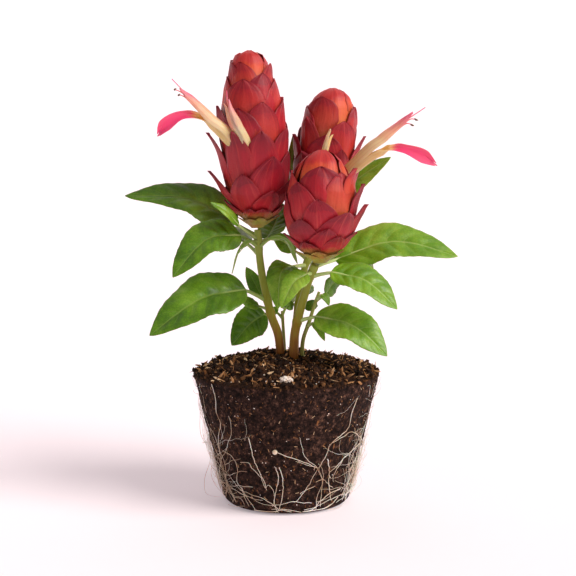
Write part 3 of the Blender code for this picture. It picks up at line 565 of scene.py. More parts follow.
# Living root: a translucent cream skin, tan where it has aged in patches of about 9 mm, and slightly
# wet.
root_skin, tree, shader = new_material("young_root_skin", 0.5, Subsurface_Weight=0.2,
                                       Subsurface_Scale=0.4 * MM)
where = add(tree, "ShaderNodeTexCoord").outputs["Object"]
age = add(tree, "ShaderNodeTexNoise", {"Vector": where, "Scale": 110.0, "Detail": 3.0})
colour = add(tree, "ShaderNodeValToRGB", {0: age},
             stops=[(0.3, "#b08a68"), (0.45, "#dcc6ae"), (0.62, "#f4ebe0")])
wrinkle = add(tree, "ShaderNodeTexNoise", {"Vector": where, "Scale": 2500.0, "Detail": 2.0})
bump = add(tree, "ShaderNodeBump", {"Height": wrinkle, "Strength": 0.3, "Distance": 0.1 * MM})
connect(tree, shader, {"Base Color": colour, "Normal": bump})
skinning = thread_tree(root_skin)
dress("roots_on_side", thread_mesh(threads, skinning, 7), root_skin, ["root_net"])
dress("feeding_roots", thread_mesh(fluff, skinning, 4), root_skin)
# A bead of new growth sits where one root ends.
BEAD = on_side(math.radians(-98), 27.0, 0.3)
bpy.ops.mesh.primitive_uv_sphere_add(segments=20, ring_count=12, radius=1.0 * MM)
points, faces = taken(bpy.context.object)
points = [BEAD + point for point in points]
piece("root_bead", points, faces, root_skin)

# The stems: soft square-edged green stems with swollen joints, brown and woody at the foot, which
# stand in the mix. Two thin young shoots rise between them.

STEMS = {
    # points up the axis, the radii along it and the heights of its joints, in millimetres
    "stem_left": (((-1.9, -3, 54), (-3.2, -3.5, 68), (-6.2, -3.5, 76.7), (-8.2, -3, 85.2), (-10, -2, 93.7),
                   (-11.1, -1, 102.2), (-11.7, 0, 111.5)), (1.9, 1.7, 1.5), (78, 83, 104, 107.5)),
    "stem_right_front": (((2.6, -7, 54), (3.2, -7.5, 68.6), (4.9, -9, 77.4), (7.2, -11, 86.1),
                          (9, -13, 92.6), (11.3, -15.5, 98.5)), (2.0, 1.8, 1.6), (75, 94, 97)),
    "stem_right_back": (((3.4, 1.7, 54), (3.7, 3, 69.9), (5.2, 6, 82.8), (7.6, 9.8, 95), (10.6, 12, 101),
                         (12.1, 12.5, 103.9)), (1.7, 1.5, 1.5), (80, 92, 98)),
    "shoot_right": (((6.3, -4.2, 54), (6.6, -4.4, 66), (9.2, -4, 74.2), (11.4, -2, 80.9), (13.3, 0, 86)),
                    (0.9, 0.8, 0.6), (73, 82.5)),
    "shoot_middle": (((-0.6, 2.6, 55), (-1.2, 2.4, 68), (-1.8, 2, 77.9)), (0.8, 0.7, 0.6), (75,)),
}
STEM_FOOT = 57.0
# Shares of the radius
JOINT_SWELL, FOOT_FLARE, SQUARE_EDGES = 0.16, 0.18, 0.05


def between(values, share):
    """Straight-line reading of evenly spaced values."""
    place = min(max(share, 0.0), 1.0) * (len(values) - 1)
    index = min(int(place), len(values) - 2)
    return values[index] + (values[index + 1] - values[index]) * (place - index)


def add_tube(shape, way, radius_at, sides, steps, mark_at):
    """Adds a closed round rod to a shape, which is its points, faces and marks."""
    points, faces, marks = shape
    start = len(points)
    across = None
    for step in range(steps + 1):
        share = step / steps
        centre = curve_point(way, share)
        along = (curve_point(way, share + 0.01) - curve_point(way, share - 0.01)).normalized()
        if across is None:
            across = along.orthogonal().normalized()
        across = (across - along * across.dot(along)).normalized()
        up = along.cross(across)
        for side in range(sides):
            turn = 2 * math.pi * side / sides
            points.append(centre + (across * math.cos(turn) + up * math.sin(turn)) * radius_at(share, turn))
            marks.append(mark_at(share, turn))
    for step in range(steps):
        for side in range(sides):
            here = start + step * sides + side
            beside = start + step * sides + (side + 1) % sides
            faces.append((here, beside, beside + sides, here + sides))
    faces.append(tuple(start + side for side in reversed(range(sides))))
    faces.append(tuple(start + steps * sides + side for side in range(sides)))


def stem_at(name, height):
    """The stem's axis and its radius at a height, in millimetres."""
    way, radii, _ = STEMS[name]
    way = [Vector(spot) for spot in way]
    low, high = 0.0, 1.0
    for _ in range(30):
        middle = (low + high) / 2
        if curve_point(way, middle).z < height:
            low = middle
        else:
            high = middle
    return curve_point(way, low), between(radii, low)


# Soft stem skin: olive green that turns to brown bark at the foot, with lengthwise streaks of about
# 0.8 by 9 mm.
STEM_SKINS = {
    "stem": ((0.0, "#743602"), (0.20, "#8e620c"), (0.42, "#8c8a1e"), (0.65, "#92993a"), (1.0, "#a6b654")),
    "young_shoot": ((0.0, "#8a8a40"), (0.5, "#a3ab58"), (1.0, "#b9c66c")),
}
skins = {}
for slot, tones in STEM_SKINS.items():
    finish, tree, shader = new_material(slot + "_skin", 0.42, Specular_IOR_Level=0.28, Subsurface_Weight=0.12,
                                         Subsurface_Scale=0.8 * MM)
    where = add(tree, "ShaderNodeTexCoord").outputs["Object"]
    height = add(tree, "ShaderNodeSeparateXYZ", {0: where}).outputs["Z"]
    drawn = add(tree, "ShaderNodeMapping", {"Vector": where, "Scale": (1, 1, 0.09)})
    streak = add(tree, "ShaderNodeTexNoise", {"Vector": drawn, "Scale": 1300.0, "Detail": 3.0})
    share = add(tree, "ShaderNodeMapRange", {"Value": height, "From Min": STEM_FOOT * MM,
                                             "From Max": 112 * MM})
    uneven = add(tree, "ShaderNodeMath", {0: streak, 1: 0.35, 2: -0.17}, operation="MULTIPLY_ADD")
    total = add(tree, "ShaderNodeMath", {0: share, 1: uneven}, operation="ADD")
    colour = add(tree, "ShaderNodeValToRGB", {0: total}, stops=tones)
    bump = add(tree, "ShaderNodeBump", {"Height": streak, "Strength": 0.45, "Distance": 0.25 * MM})
    connect(tree, shader, {"Base Color": colour, "Normal": bump})
    skins[slot] = finish

for name, (way, radii, joints) in STEMS.items():
    way = [Vector(spot) * MM for spot in way]

    def stem_radius(share, turn):
        height = curve_point(way, share).z / MM
        swell = sum(JOINT_SWELL * math.exp(-((height - joint) / 1.3) ** 2) for joint in joints)
        flare = FOOT_FLARE * math.exp(-max(0.0, height - STEM_FOOT) / 3.0)
        edges = SQUARE_EDGES * math.cos(4 * turn)
        return between(radii, share) * (1.0 + swell + flare + edges) * MM

    shape = ([], [], [])
    add_tube(shape, way, stem_radius, 24, 90, lambda share, turn: (0, share, 0))
    slot = "stem" if name.startswith("stem") else "young_shoot"
    piece(name + "_skin", shape[0], shape[1], skins[slot], [name])

# The leaves: opposite, egg-shaped and drawn out to a point, each on a short stalk. The blade is
# quilted between its sunken side veins and is folded a little along the midrib.

LEAVES = (
    # name, stem, height of its joint, base, middle and tip, width, the way that it faces, and 1 where
    # it stands in the light
    ("leaf_left_top", "stem_left", 108.5, (-20.8, 6, 113.6), (-40, 9, 123.6), (-66.3, 6, 125), 19,
     (-0.1, -0.62, 0.78), 0),
    ("leaf_left_small", "stem_left", 107, (-19, -8, 113.6), (-24.1, -11, 119.4), (-30, -12, 123), 5,
     (-0.4, -0.5, 0.77), 1),
    ("leaf_left_middle", "stem_left", 104.5, (-18.3, -5, 109.5), (-32.4, -10, 107.6), (-44.8, -17, 93.6), 18,
     (-0.25, -0.75, 0.6), 0),
    ("leaf_left_low", "stem_left", 82.5, (-16.3, -6, 87.6), (-34.5, -12, 84.2), (-54.1, -18, 70.6), 23,
     (-0.2, -0.7, 0.65), 0),
    ("leaf_left_curved", "stem_left", 107, (-14, -5, 107.2), (-18.6, -10, 104), (-21.6, -14, 94.9), 5.5,
     (-0.8, 0.2, 0.6), 0),
    ("leaf_low_behind", "stem_left", 76, (-8.6, 4.5, 76.5), (-15.1, 5, 72), (-22.6, 2, 63.6), 15,
     (-0.25, -0.9, 0.35), 0),
    ("leaf_upright_behind", "stem_left", 83, (-10.5, 3, 84.2), (-13.4, 5, 89.6), (-16.7, 6, 95.7), 6.5,
     (0.1, -0.95, 0.2), 0),
    ("leaf_under_petiole", "stem_left", 79, (-11.4, 0, 80.3), (-14.9, -1.5, 81.5), (-19.3, -2, 84.6), 5.5,
     (-0.2, -0.7, 0.7), 0),
    ("leaf_centre_wide", "stem_right_back", 96, (2.6, 2, 96.4), (-2.2, -5, 94), (-3.5, -11, 80.3), 12.5,
     (-0.35, -0.85, 0.45), 1),
    ("leaf_centre_front", "stem_right_front", 95, (8.2, -18.4, 95.2), (2.6, -22, 91.6), (-2.1, -25, 82.4),
     9.5, (-0.3, -0.85, 0.45), 1),
    ("leaf_between_dark", "stem_left", 106, (-8, 5, 107.4), (-5, 12, 112.6), (-1.6, 18, 121.5), 13.5,
     (-0.45, -0.85, 0.1), 0),
    ("leaf_between_arched", "stem_left", 104, (-7.4, -5, 107.8), (-0.2, -8, 107.7), (4.4, -6, 98.1), 5,
     (0.3, 0.3, 0.9), 0),
    ("leaf_between_pale", "stem_right_back", 98, (3.6, 17, 101.6), (-0.6, 21, 104.6), (-6, 23, 108.6), 8,
     (-0.1, -0.9, 0.4), 1),
    ("leaf_right_top", "stem_right_front", 97.6, (19.4, -3, 99.4), (43.6, -2, 106.6), (68.9, -6, 101), 20,
     (0.05, -0.65, 0.75), 1),
    ("leaf_right_middle", "stem_right_front", 93.5, (17.4, -17.5, 95.8), (31, -21.5, 92.4), (42.8, -27, 82.2),
     16.5, (0.25, -0.6, 0.75), 1),
    ("leaf_right_low", "stem_right_front", 75, (11.4, -12.5, 77.6), (26.7, -18, 74.2), (39.4, -23, 63.2), 18,
     (0.2, -0.7, 0.68), 1),
    ("leaf_shoot_raised", "shoot_right", 82.5, (15.8, 1, 85), (19, 4.6, 89), (24, 8.5, 91.6), 8.5,
     (0.3, -0.85, -0.4), 0),
    ("leaf_shoot_drooped", "shoot_right", 83, (14.3, -2.4, 85.2), (16, -3, 83.9), (17.3, -3.2, 80.8), 3.6,
     (0.4, -0.8, 0.4), 1),
    ("leaf_shoot_tongue", "shoot_right", 72.5, (10.9, -7.4, 74.4), (13, -9.5, 72.4), (15.3, -10.5, 67.4), 4.4,
     (0.35, -0.8, 0.45), 1),
    ("leaf_shoot_small", "shoot_right", 76, (10.4, 0.2, 78.2), (10.4, 2.6, 80.2), (12.2, 4.4, 82), 5.6,
     (-0.2, -0.9, 0.3), 0),
    ("leaf_middle_left", "shoot_middle", 75, (-3.7, 3.2, 77), (-5.6, 4.2, 77.6), (-8.6, 5.4, 76.4), 4,
     (-0.2, -0.8, 0.5), 0),
    ("leaf_middle_right", "shoot_middle", 76.6, (-0.4, 4.2, 78.8), (1, 6.2, 80), (3, 8.4, 80.4), 5.2,
     (0.2, -0.9, 0.3), 0),
    ("leaf_back_right_top", "stem_right_back", 101, (14.5, 28.5, 109.5), (27, 33, 128), (44.6, 29, 140.9), 13,
     (-0.35, -0.8, 0.45), 1),
    ("leaf_back_upright", "stem_right_back", 100.5, (7, 21, 104.5), (1.8, 25.5, 127), (2.6, 22, 150), 6,
     (-0.1, -0.98, 0.1), 1),
    ("leaf_back_left", "stem_left", 101, (-16.5, 9, 105.5), (-29, 21, 111), (-42, 34, 104), 18,
     (-0.25, 0.3, 0.9), 0),
    ("leaf_back_right", "stem_right_back", 92, (12, 16, 94.6), (25, 28, 99), (38, 41, 91), 19,
     (0.2, 0.3, 0.92), 0),
    ("leaf_back_low", "stem_right_back", 80, (4, 11.5, 82.5), (2, 26, 85), (-1.5, 41, 74), 18,
     (0.0, 0.45, 0.9), 0),
)
# Shares of the half width: fold at the midrib, curl of the edges, quilting, ripple and wavy edge
FOLD, CURL, QUILT, RIPPLE, WAVE = 0.22, 0.1, 0.075, 0.055, 0.05
LARGE_FROM = 9
VEIN_PAIRS = 7
VEIN_SWEEP = 0.17
VEIN_BEND = 1.25
LEAF_SHEET = 0.38
PETIOLE = 0.8


def add_sheet(shape, rows, normals, thickness, marks_of):
    """Adds a closed thin sheet to a shape, from rows of points and of normals; thick at the middle."""
    points, faces, marks = shape
    start = len(points)
    count, across = len(rows), len(rows[0])
    for side in (1, -1):
        for number, (row, ups) in enumerate(zip(rows, normals)):
            for cell, (spot, up) in enumerate(zip(row, ups)):
                u = 2 * cell / (across - 1) - 1
                points.append(spot + up * (side * thickness * (0.5 - 0.25 * u * u)))
                marks.append(marks_of(u, number / (count - 1), side))
    back = count * across
    for number in range(count - 1):
        for cell in range(across - 1):
            here = start + number * across + cell
            faces.append((here, here + 1, here + across + 1, here + across))
            under = here + back
            faces.append((under, under + across, under + across + 1, under + 1))
    rim = [number * across for number in range(count)]
    rim += [(count - 1) * across + cell for cell in range(1, across)]
    rim += [number * across + across - 1 for number in reversed(range(count - 1))]
    rim += [cell for cell in reversed(range(1, across - 1))]
    for number, spot in enumerate(rim):
        after = rim[(number + 1) % len(rim)]
        faces.append((start + spot, start + after, start + back + after, start + back + spot))


def leaf_outline(width, share):
    """Half the blade's width at a share of its length: egg-shaped, with a drawn-out tip."""
    blunt, tapered = 0.48, 0.8
    peak = 0.375 ** blunt * 0.625 ** tapered
    return max(0.12, 0.5 * width * share ** blunt * (1.0 - share) ** tapered / peak)


# Leaf blade: smooth thin green skin with a soft gloss. It has a paler midrib and side veins, a darker
# net of veins about 1 mm apart between them, and a dull pale underside.
# The two sets of greens are one leaf green in two copies: the leaf_lit set is painted light for leaves in the
# light, the leaf_shaded set painted shade for the others.
LEAF_GREENS = {
    "leaf_shaded": ("#436c06", "#608c10", "#80aa2a", "#9cb45a", "#809e44"),
    "leaf_lit": ("#5a8a10", "#78a320", "#96b83e", "#bcd080", "#9ab85c"),
}
blades = {}
for slot, (deep, mean, fresh, vein_colour, below) in LEAF_GREENS.items():
    finish, tree, shader = new_material(slot + "_blade", 0.38, Subsurface_Weight=0.10,
                                        Subsurface_Scale=0.6 * MM)
    where = add(tree, "ShaderNodeTexCoord").outputs["Object"]
    mark = add(tree, "ShaderNodeSeparateXYZ", {0: add(tree, "ShaderNodeAttribute",
                                                     attribute_name="mark").outputs["Vector"]})
    aside = add(tree, "ShaderNodeMath", {0: mark.outputs[0]}, operation="ABSOLUTE")
    swept = add(tree, "ShaderNodeMath", {0: aside, 1: VEIN_BEND}, operation="POWER")
    phase = add(tree, "ShaderNodeMath", {0: swept, 1: -VEIN_SWEEP, 2: mark.outputs[1]},
                operation="MULTIPLY_ADD")
    counted = add(tree, "ShaderNodeMath", {0: phase, 1: float(VEIN_PAIRS)}, operation="MULTIPLY")
    half = add(tree, "ShaderNodeMath", {0: counted, 1: 0.5}, operation="PINGPONG")
    side_vein = add(tree, "ShaderNodeMapRange", {"Value": half, "From Max": 0.075, "To Min": 1.0,
                                                 "To Max": 0.0}, interpolation_type="SMOOTHSTEP")
    fade = add(tree, "ShaderNodeMapRange", {"Value": aside, "From Min": 0.2, "From Max": 0.95,
                                            "To Min": 0.17, "To Max": 0.02})
    side_vein = add(tree, "ShaderNodeMath", {0: side_vein, 1: fade}, operation="MULTIPLY")
    midrib = add(tree, "ShaderNodeMapRange", {"Value": aside, "From Min": 0.015, "From Max": 0.065,
                                              "To Min": 0.40, "To Max": 0.0},
                 interpolation_type="SMOOTHSTEP")
    veins = add(tree, "ShaderNodeMath", {0: side_vein, 1: midrib}, operation="MAXIMUM")
    patch = add(tree, "ShaderNodeTexNoise", {"Vector": where, "Scale": 75.0, "Detail": 4.0, "Roughness": 0.6})
    net = add(tree, "ShaderNodeTexVoronoi", {"Vector": where, "Scale": 900.0}, feature="DISTANCE_TO_EDGE")
    net_line = add(tree, "ShaderNodeMapRange", {"Value": net, "From Max": 0.12,
                                                "To Min": 0.10, "To Max": 0.0})
    tone = add(tree, "ShaderNodeMath", {0: patch, 1: net_line}, operation="SUBTRACT")
    turned = add(tree, "ShaderNodeMapRange", {"Value": mark.outputs[2], "From Min": 0.6, "From Max": 0.4})
    stalk = add(tree, "ShaderNodeMapRange", {"Value": mark.outputs[2], "From Min": 1.4, "From Max": 1.6})
    colour = add(tree, "ShaderNodeValToRGB", {0: tone}, stops=[(0.34, deep), (0.5, mean), (0.66, fresh)])
    for strength, over in ((veins, vein_colour), (turned, below), (stalk, vein_colour)):
        colour = add(tree, "ShaderNodeMix", {"Factor_Float": strength, "A_Color": colour,
                                             "B_Color": srgb(over)}, data_type="RGBA")
    fine = add(tree, "ShaderNodeTexNoise", {"Vector": where, "Scale": 1100.0, "Detail": 3.0})
    gloss = add(tree, "ShaderNodeMapRange", {"Value": fine, "To Min": 0.30, "To Max": 0.52})
    relief = add(tree, "ShaderNodeMath", {0: fine, 1: net}, operation="ADD")
    bump = add(tree, "ShaderNodeBump", {"Height": relief, "Strength": 0.25, "Distance": 0.2 * MM})
    connect(tree, shader, {"Base Color": colour, "Roughness": gloss, "Normal": bump})
    blades[slot] = finish

for number, (name, stem, joint, base, middle, tip, width, facing, lit) in enumerate(LEAVES):
    way = [Vector(base), Vector(middle), Vector(tip)]
    facing = Vector(facing).normalized()
    large = width > LARGE_FROM
    count, across = (60, 26) if large else (30, 14)
    rows, normals = [], []
    for row in range(count + 1):
        share = row / count
        centre = curve_point(way, share)
        along = (curve_point(way, share + 0.02) - curve_point(way, share - 0.02)).normalized()
        side = along.cross(facing).normalized()
        up = side.cross(along)
        half = leaf_outline(width, share)
        half *= 1.0 + 0.014 * math.sin(share * 75.0 + number) * min(1.0, share * 4)
        line = []
        for cell in range(across + 1):
            u = 2 * cell / across - 1
            turns = VEIN_PAIRS * (share - VEIN_SWEEP * abs(u) ** VEIN_BEND)
            quilt = abs(math.sin(math.pi * turns)) ** 0.7 * (1 - abs(u) ** 3) * min(1.0, abs(u) * 5)
            ripple = noise.noise(Vector((share * 3.2, u * 1.1, number * 3.7)))
            lift = FOLD * abs(u) - CURL * u * u + QUILT * quilt + RIPPLE * ripple
            lift += WAVE * u * u * math.sin(share * 17.0 + number * 1.9 + (u > 0))
            line.append((centre + (side * u + up * lift) * half) * MM)
        rows.append(line)
        normals.append([up * MM] * (across + 1))
    shape = ([], [], [])
    add_sheet(shape, rows, normals, LEAF_SHEET, lambda u, share, side: (u, share, 1.0 if side > 0 else 0.0))
    axis, thick = stem_at(stem, joint)
    start = axis + (way[0] - axis).normalized() * thick * 0.5
    slim = PETIOLE * (1.0 if large else 0.75)
    drop = -facing * slim * 0.25
    run = [spot * MM for spot in (start, (start + way[0]) / 2, curve_point(way, 0.03) + drop,
                                  curve_point(way, 0.25) + drop, curve_point(way, 0.6) + drop * 0.6)]
    radii = (1.25, 0.95, 0.8, 0.45, 0.2)
    add_tube(shape, run, lambda share, turn: between(radii, share) * slim * MM, 12, 44,
             lambda share, turn: (1.0, share, 2.0))
    # Leaves marked lit take the green with painted light, the others the green with painted shade.
    slot = "leaf_lit" if lit else "leaf_shaded"
    piece(name + "_blade", shape[0], shape[1], blades[slot], [name], marks={"mark": shape[2]})

# The spikes: overlapping heart-shaped bracts in seven or eight ranks, wrapped close like an artichoke.
# They are crimson, orange at the young top and greenish yellow at their bases; old tips stand off.

SPIKES = {
    # foot and top of the axis, heights up it with the radius that the tips reach there, and each
    # rank's turn in degrees with the heights of its tips; a negative height is a tip that stands off
    "spike_left": {
        "foot": (-11.8, 0, 112.3), "top": (-15.0, 0, 183.3),
        "envelope": ((0, 3.4), (1.6, 5.8), (6.4, 10.0), (14, 13.9), (24, 14.6), (40, 14.4), (50, 12.9),
                     (56, 11.0), (61, 9.0), (66, 7.5), (69.4, 5.2), (71, 1.2)),
        "length": 29.0, "width": 17.0, "splay": 4.8,
        "ranks": ((-172, (5, 12, -23, -38, 50, 60, 67)), (-114, (4, 8, 22, -38.5, 47, 58, 66)),
                  (-66, (4.5, 8, 15, 28, 39, 50, 61)), (-14, (5, 10, 20, 30, 41, 52, 60, 66)),
                  (37, (5, 9, 18, 33, 46, 57, 65)), (88, (11, -25, 39, 51, 62)),
                  (139, (17, -31, 44, 55, 64))),
        "buds": ((-100, 71.0), (30, 70.3), (150, 70.0))},
    "spike_right_back": {
        "foot": (12.4, 12.6, 104.6), "top": (19.1, 12, 169.6),
        "envelope": ((0, 3.2), (2, 6.4), (6, 9.6), (14, 12.6), (26, 13.6), (40, 13.4), (50, 12.2),
                     (57, 9.8), (61, 7.4), (63.6, 4.2), (64.8, 1.2)),
        "length": 27.0, "width": 16.0, "splay": 3.0,
        "ranks": ((-168, (16, 32, -46, 57)), (-130, (10, 24, 40, -54, 61)), (-98, (18, 31, 46)),
                  (-58, (12, 26, 39, 52)), (-14, (20, 32, -44, 56)), (36, (11, 26, 40, 51, 60)),
                  (87, (18, 34, 47, 57)), (138, (9, 24, 40, 51, 60))),
        "buds": ((-95, 64.8), (20, 64.2), (140, 64.0))},
    "spike_right_front": {
        "foot": (13.2, -16.6, 99.4), "top": (13.9, -17, 143.6),
        "envelope": ((0, 3.6), (1.8, 6.2), (6, 10.6), (12, 14.2), (20, 15.2), (28, 13.8), (35, 11.0),
                     (40, 8.0), (42.8, 4.4), (44.2, 1.2)),
        "length": 27.0, "width": 17.0, "splay": 5.0,
        "ranks": ((-170, (5, 12, 27, 37)), (-128, (4, 9, 18, 31)), (-90, (5, 13, 26, 39)),
                  (-58, (4, 10, 21, 35.5)), (-14, (5, 12, -23, -31, -37)), (36, (4, 10, 22, 33, 40)),
                  (87, (15, 27, 37)), (138, (10, 21, 32, 40))),
        "buds": ((-100, 44.2), (20, 43.8), (140, 43.6))},
}
NEIGHBOURS = (("spike_right_back", "spike_right_front"), ("spike_left", "spike_right_front"),
              ("spike_left", "spike_right_back"))
# In millimetres, but for the scatter of turns in degrees and the core's share of the height. The bract
# with the held tip covers the feet of the two flowers at the left, so it isn't scattered.
STALK = 2.2
HELD_TIP = 38.5
SMALL_TIP = 9
TIP_SCATTER = 1.2
TURN_SCATTER = 5
CLEARANCE = 0.8
LAYER_DEPTH = 3.4
LEAST_REACH = 0.6
GREEN_BASE = 9.0
YOUNG_TOP = 9.0
CORE_TOP = 0.985
BRACT_SHEET = 0.4
BRACT_ROWS = 24
BRACT_CELLS = 20
BRACT_OUTLINE = (0.62, 0.76, 0.88, 0.96, 1.0, 1.0, 0.94, 0.82, 0.64, 0.39, 0.02)
ROUND_OUTLINE = (0.62, 0.76, 0.88, 0.96, 1.0, 1.02, 1.0, 0.93, 0.79, 0.55, 0.05)
BUD_OUTLINE = (0.80, 0.90, 0.96, 0.99, 1.0, 1.0, 0.98, 0.92, 0.80, 0.60, 0.20)


def table(rows, place):
    """Straight-line reading of a table of pairs."""
    for (low, first), (high, second) in zip(rows, rows[1:]):
        if place <= high:
            return first + (second - first) * max(0.0, (place - low) / (high - low))
    return rows[-1][1]


def spike_axis(spike, height):
    """The centre of a spike at a height above its foot."""
    foot, top = Vector(spike["foot"]), Vector(spike["top"])
    return foot + (top - foot) * (height / (top - foot).length)


def room(name, height, turn):
    """How far a spike may reach that way before it meets the one beside it."""
    reach = 1000.0
    centre = spike_axis(SPIKES[name], height)
    for pair in NEIGHBOURS:
        if name not in pair:
            continue
        other = SPIKES[pair[1] if pair[0] == name else pair[0]]
        beside = (Vector(other["foot"]) + Vector(other["top"])) * 0.5
        apart = Vector((beside.x - centre.x, beside.y - centre.y))
        facing = math.cos(turn) * apart.x + math.sin(turn) * apart.y
        if facing > 0.0:
            reach = min(reach, (apart.length / 2 - CLEARANCE) * apart.length / facing)
    return reach


def add_bract(shape, tones, name, turn, tip, splay, kind, outline):
    """Adds one bract, which wraps the spike from deep under the lower ones up to its tip."""
    spike = SPIKES[name]
    tall = (Vector(spike["top"]) - Vector(spike["foot"])).length
    blunt = outline is BUD_OUTLINE
    size = 0.85 if blunt else 1.0 - 0.30 * (tip / tall) ** 2
    low = max(0.2, tip - spike["length"] * size)
    length = tip - low
    width = spike["width"] * random.uniform(0.85, 1.25) * (0.72 if splay > 1.5 else 1.0)
    width *= min(1.0, 0.14 + tip / 22.0) * (1.15 if blunt else 1.0)
    lean = random.uniform(-0.2, 0.2)
    rounded = random.uniform(0.0, 1.0) * (splay < 1.5)
    seed = Vector((random.uniform(0, 90), random.uniform(0, 90), 0))
    rows, normals = [], []
    for row in range(BRACT_ROWS + 1):
        v = row / BRACT_ROWS
        rise = low + length * v
        reach = table(spike["envelope"], rise)
        depth = 0.2 + min(LAYER_DEPTH, 0.45 * reach) * (1.0 - v) ** 1.25
        half = 0.5 * width * (between(outline, v) * (1 - rounded) + between(ROUND_OUTLINE, v) * rounded)
        line, ups = [], []
        for cell in range(BRACT_CELLS + 1):
            u = 2 * cell / BRACT_CELLS - 1
            radius = max(reach - depth, LEAST_REACH)
            ragged = 1.0 + 0.07 * noise.noise(Vector((v * 7.0, u * 0.8, 5.0)) + seed) * abs(u)
            angle = turn + lean * v * v + u * min(half * ragged / radius, 1.3)
            limit = room(name, rise, angle)
            out = reach - depth - (0.25 - 0.7 * v * v) * u * u
            out += splay * v ** 4 * (1.0 - 0.35 * u * u)
            out += 0.35 * (1 - abs(u)) ** 2 * math.sin(math.pi * v)
            out += 0.75 * noise.noise(Vector((u * 1.5, v * 2.0, 0)) + seed) * (0.3 + 0.7 * v)
            out += 0.07 * math.sin(u * 24) * math.sin(math.pi * v) * (1 - abs(u)) ** 0.5
            out = max(min(out, limit), LEAST_REACH)
            outward = Vector((math.cos(angle), math.sin(angle), 0))
            line.append((spike_axis(spike, rise) + outward * out) * MM)
            ups.append(outward * MM)
        rows.append(line)
        normals.append(ups)
    before = len(shape[0])
    add_sheet(shape, rows, normals, BRACT_SHEET,
              lambda u, v, side: (u, v, max(0.0, 1.0 - (low + length * v) / GREEN_BASE)))
    tones.extend([kind] * (len(shape[0]) - before))


# Bract: a downy thin leaf coloured by its sap, deep crimson with a faint sheen. It is streaked
# lengthwise with paler veins, greenish at its base and wine red at its tip and margins.
bract_skin, tree, shader = new_material("downy_bract", 0.48, Specular_IOR_Level=0.35,
                                        Subsurface_Weight=0.10, Subsurface_Scale=0.8 * MM,
                                        Sheen_Weight=0.04, Sheen_Roughness=0.5)
where = add(tree, "ShaderNodeTexCoord").outputs["Object"]
spread = add(tree, "ShaderNodeAttribute", attribute_name="mark").outputs["Vector"]
mark = add(tree, "ShaderNodeSeparateXYZ", {0: spread})
kind_vector = add(tree, "ShaderNodeAttribute", attribute_name="tone").outputs["Vector"]
kind = add(tree, "ShaderNodeSeparateXYZ", {0: kind_vector})
mottle = add(tree, "ShaderNodeTexNoise", {"Vector": where, "Scale": 150.0, "Detail": 5.0, "Roughness": 0.6})
shifted = add(tree, "ShaderNodeVectorMath", {0: kind_vector, 1: (0.0, 0.0, 37.0)}, operation="MULTIPLY")
placed = add(tree, "ShaderNodeVectorMath", {0: spread, 1: shifted}, operation="ADD")
drawn = add(tree, "ShaderNodeMapping", {"Vector": placed, "Scale": (6.5, 0.9, 1.0)})
streak = add(tree, "ShaderNodeTexNoise", {"Vector": drawn, "Scale": 1.0, "Detail": 4.0,
                                          "Roughness": 0.62})
aside = add(tree, "ShaderNodeMath", {0: mark.outputs[0]}, operation="ABSOLUTE")
along = add(tree, "ShaderNodeMath", {0: mottle, 1: 0.35, 2: mark.outputs[1]}, operation="MULTIPLY_ADD")
body_colour = add(tree, "ShaderNodeValToRGB", {0: along},
                  stops=[(0.14, "#b3a23a"), (0.30, "#cf6430"), (0.52, "#c3222a"), (0.82, "#b21526"),
                         (1.04, "#a31326"), (1.18, "#8e1126")])
young_colour = add(tree, "ShaderNodeValToRGB", {0: along},
                   stops=[(0.2, "#dda050"), (0.55, "#e27038"), (0.9, "#d84c2c"), (1.12, "#c02c2c")])
old_colour = add(tree, "ShaderNodeValToRGB", {0: along},
                 stops=[(0.16, "#9aa040"), (0.30, "#b2442c"), (0.45, "#a81824"), (0.85, "#9a1226"),
                        (1.16, "#7a0d22")])
aged = add(tree, "ShaderNodeMix", {"Factor_Float": kind.outputs[1], "A_Color": body_colour,
                                   "B_Color": old_colour}, data_type="RGBA")
colour = add(tree, "ShaderNodeMix", {"Factor_Float": kind.outputs[0], "A_Color": aged,
                                     "B_Color": young_colour}, data_type="RGBA")
sappy = add(tree, "ShaderNodeMath", {0: mark.outputs[2], 1: mottle}, operation="MULTIPLY")
# Over that lie the pale veins, the furrows between them, the wine red margin and the sappy foot
for source, start, full, most, over in (
        (streak, 0.52, 0.74, 0.42, "#de5448"), (streak, 0.46, 0.30, 0.45, "#860c1c"),
        (aside, 0.80, 1.0, 0.45, "#8a0f22"), (sappy, 0.12, 0.42, 1.0, "#a8a044")):
    strength = add(tree, "ShaderNodeMapRange", {"Value": source, "From Min": start, "From Max": full,
                                                "To Max": most})
    colour = add(tree, "ShaderNodeMix", {"Factor_Float": strength, "A_Color": colour,
                                         "B_Color": srgb(over)}, data_type="RGBA")
down = add(tree, "ShaderNodeTexNoise", {"Vector": where, "Scale": 1300.0, "Detail": 3.0})
relief = add(tree, "ShaderNodeMath", {0: streak, 1: 2.5, 2: down}, operation="MULTIPLY_ADD")
bump = add(tree, "ShaderNodeBump", {"Height": relief, "Strength": 0.4, "Distance": 0.25 * MM})
connect(tree, shader, {"Base Color": colour, "Normal": bump})

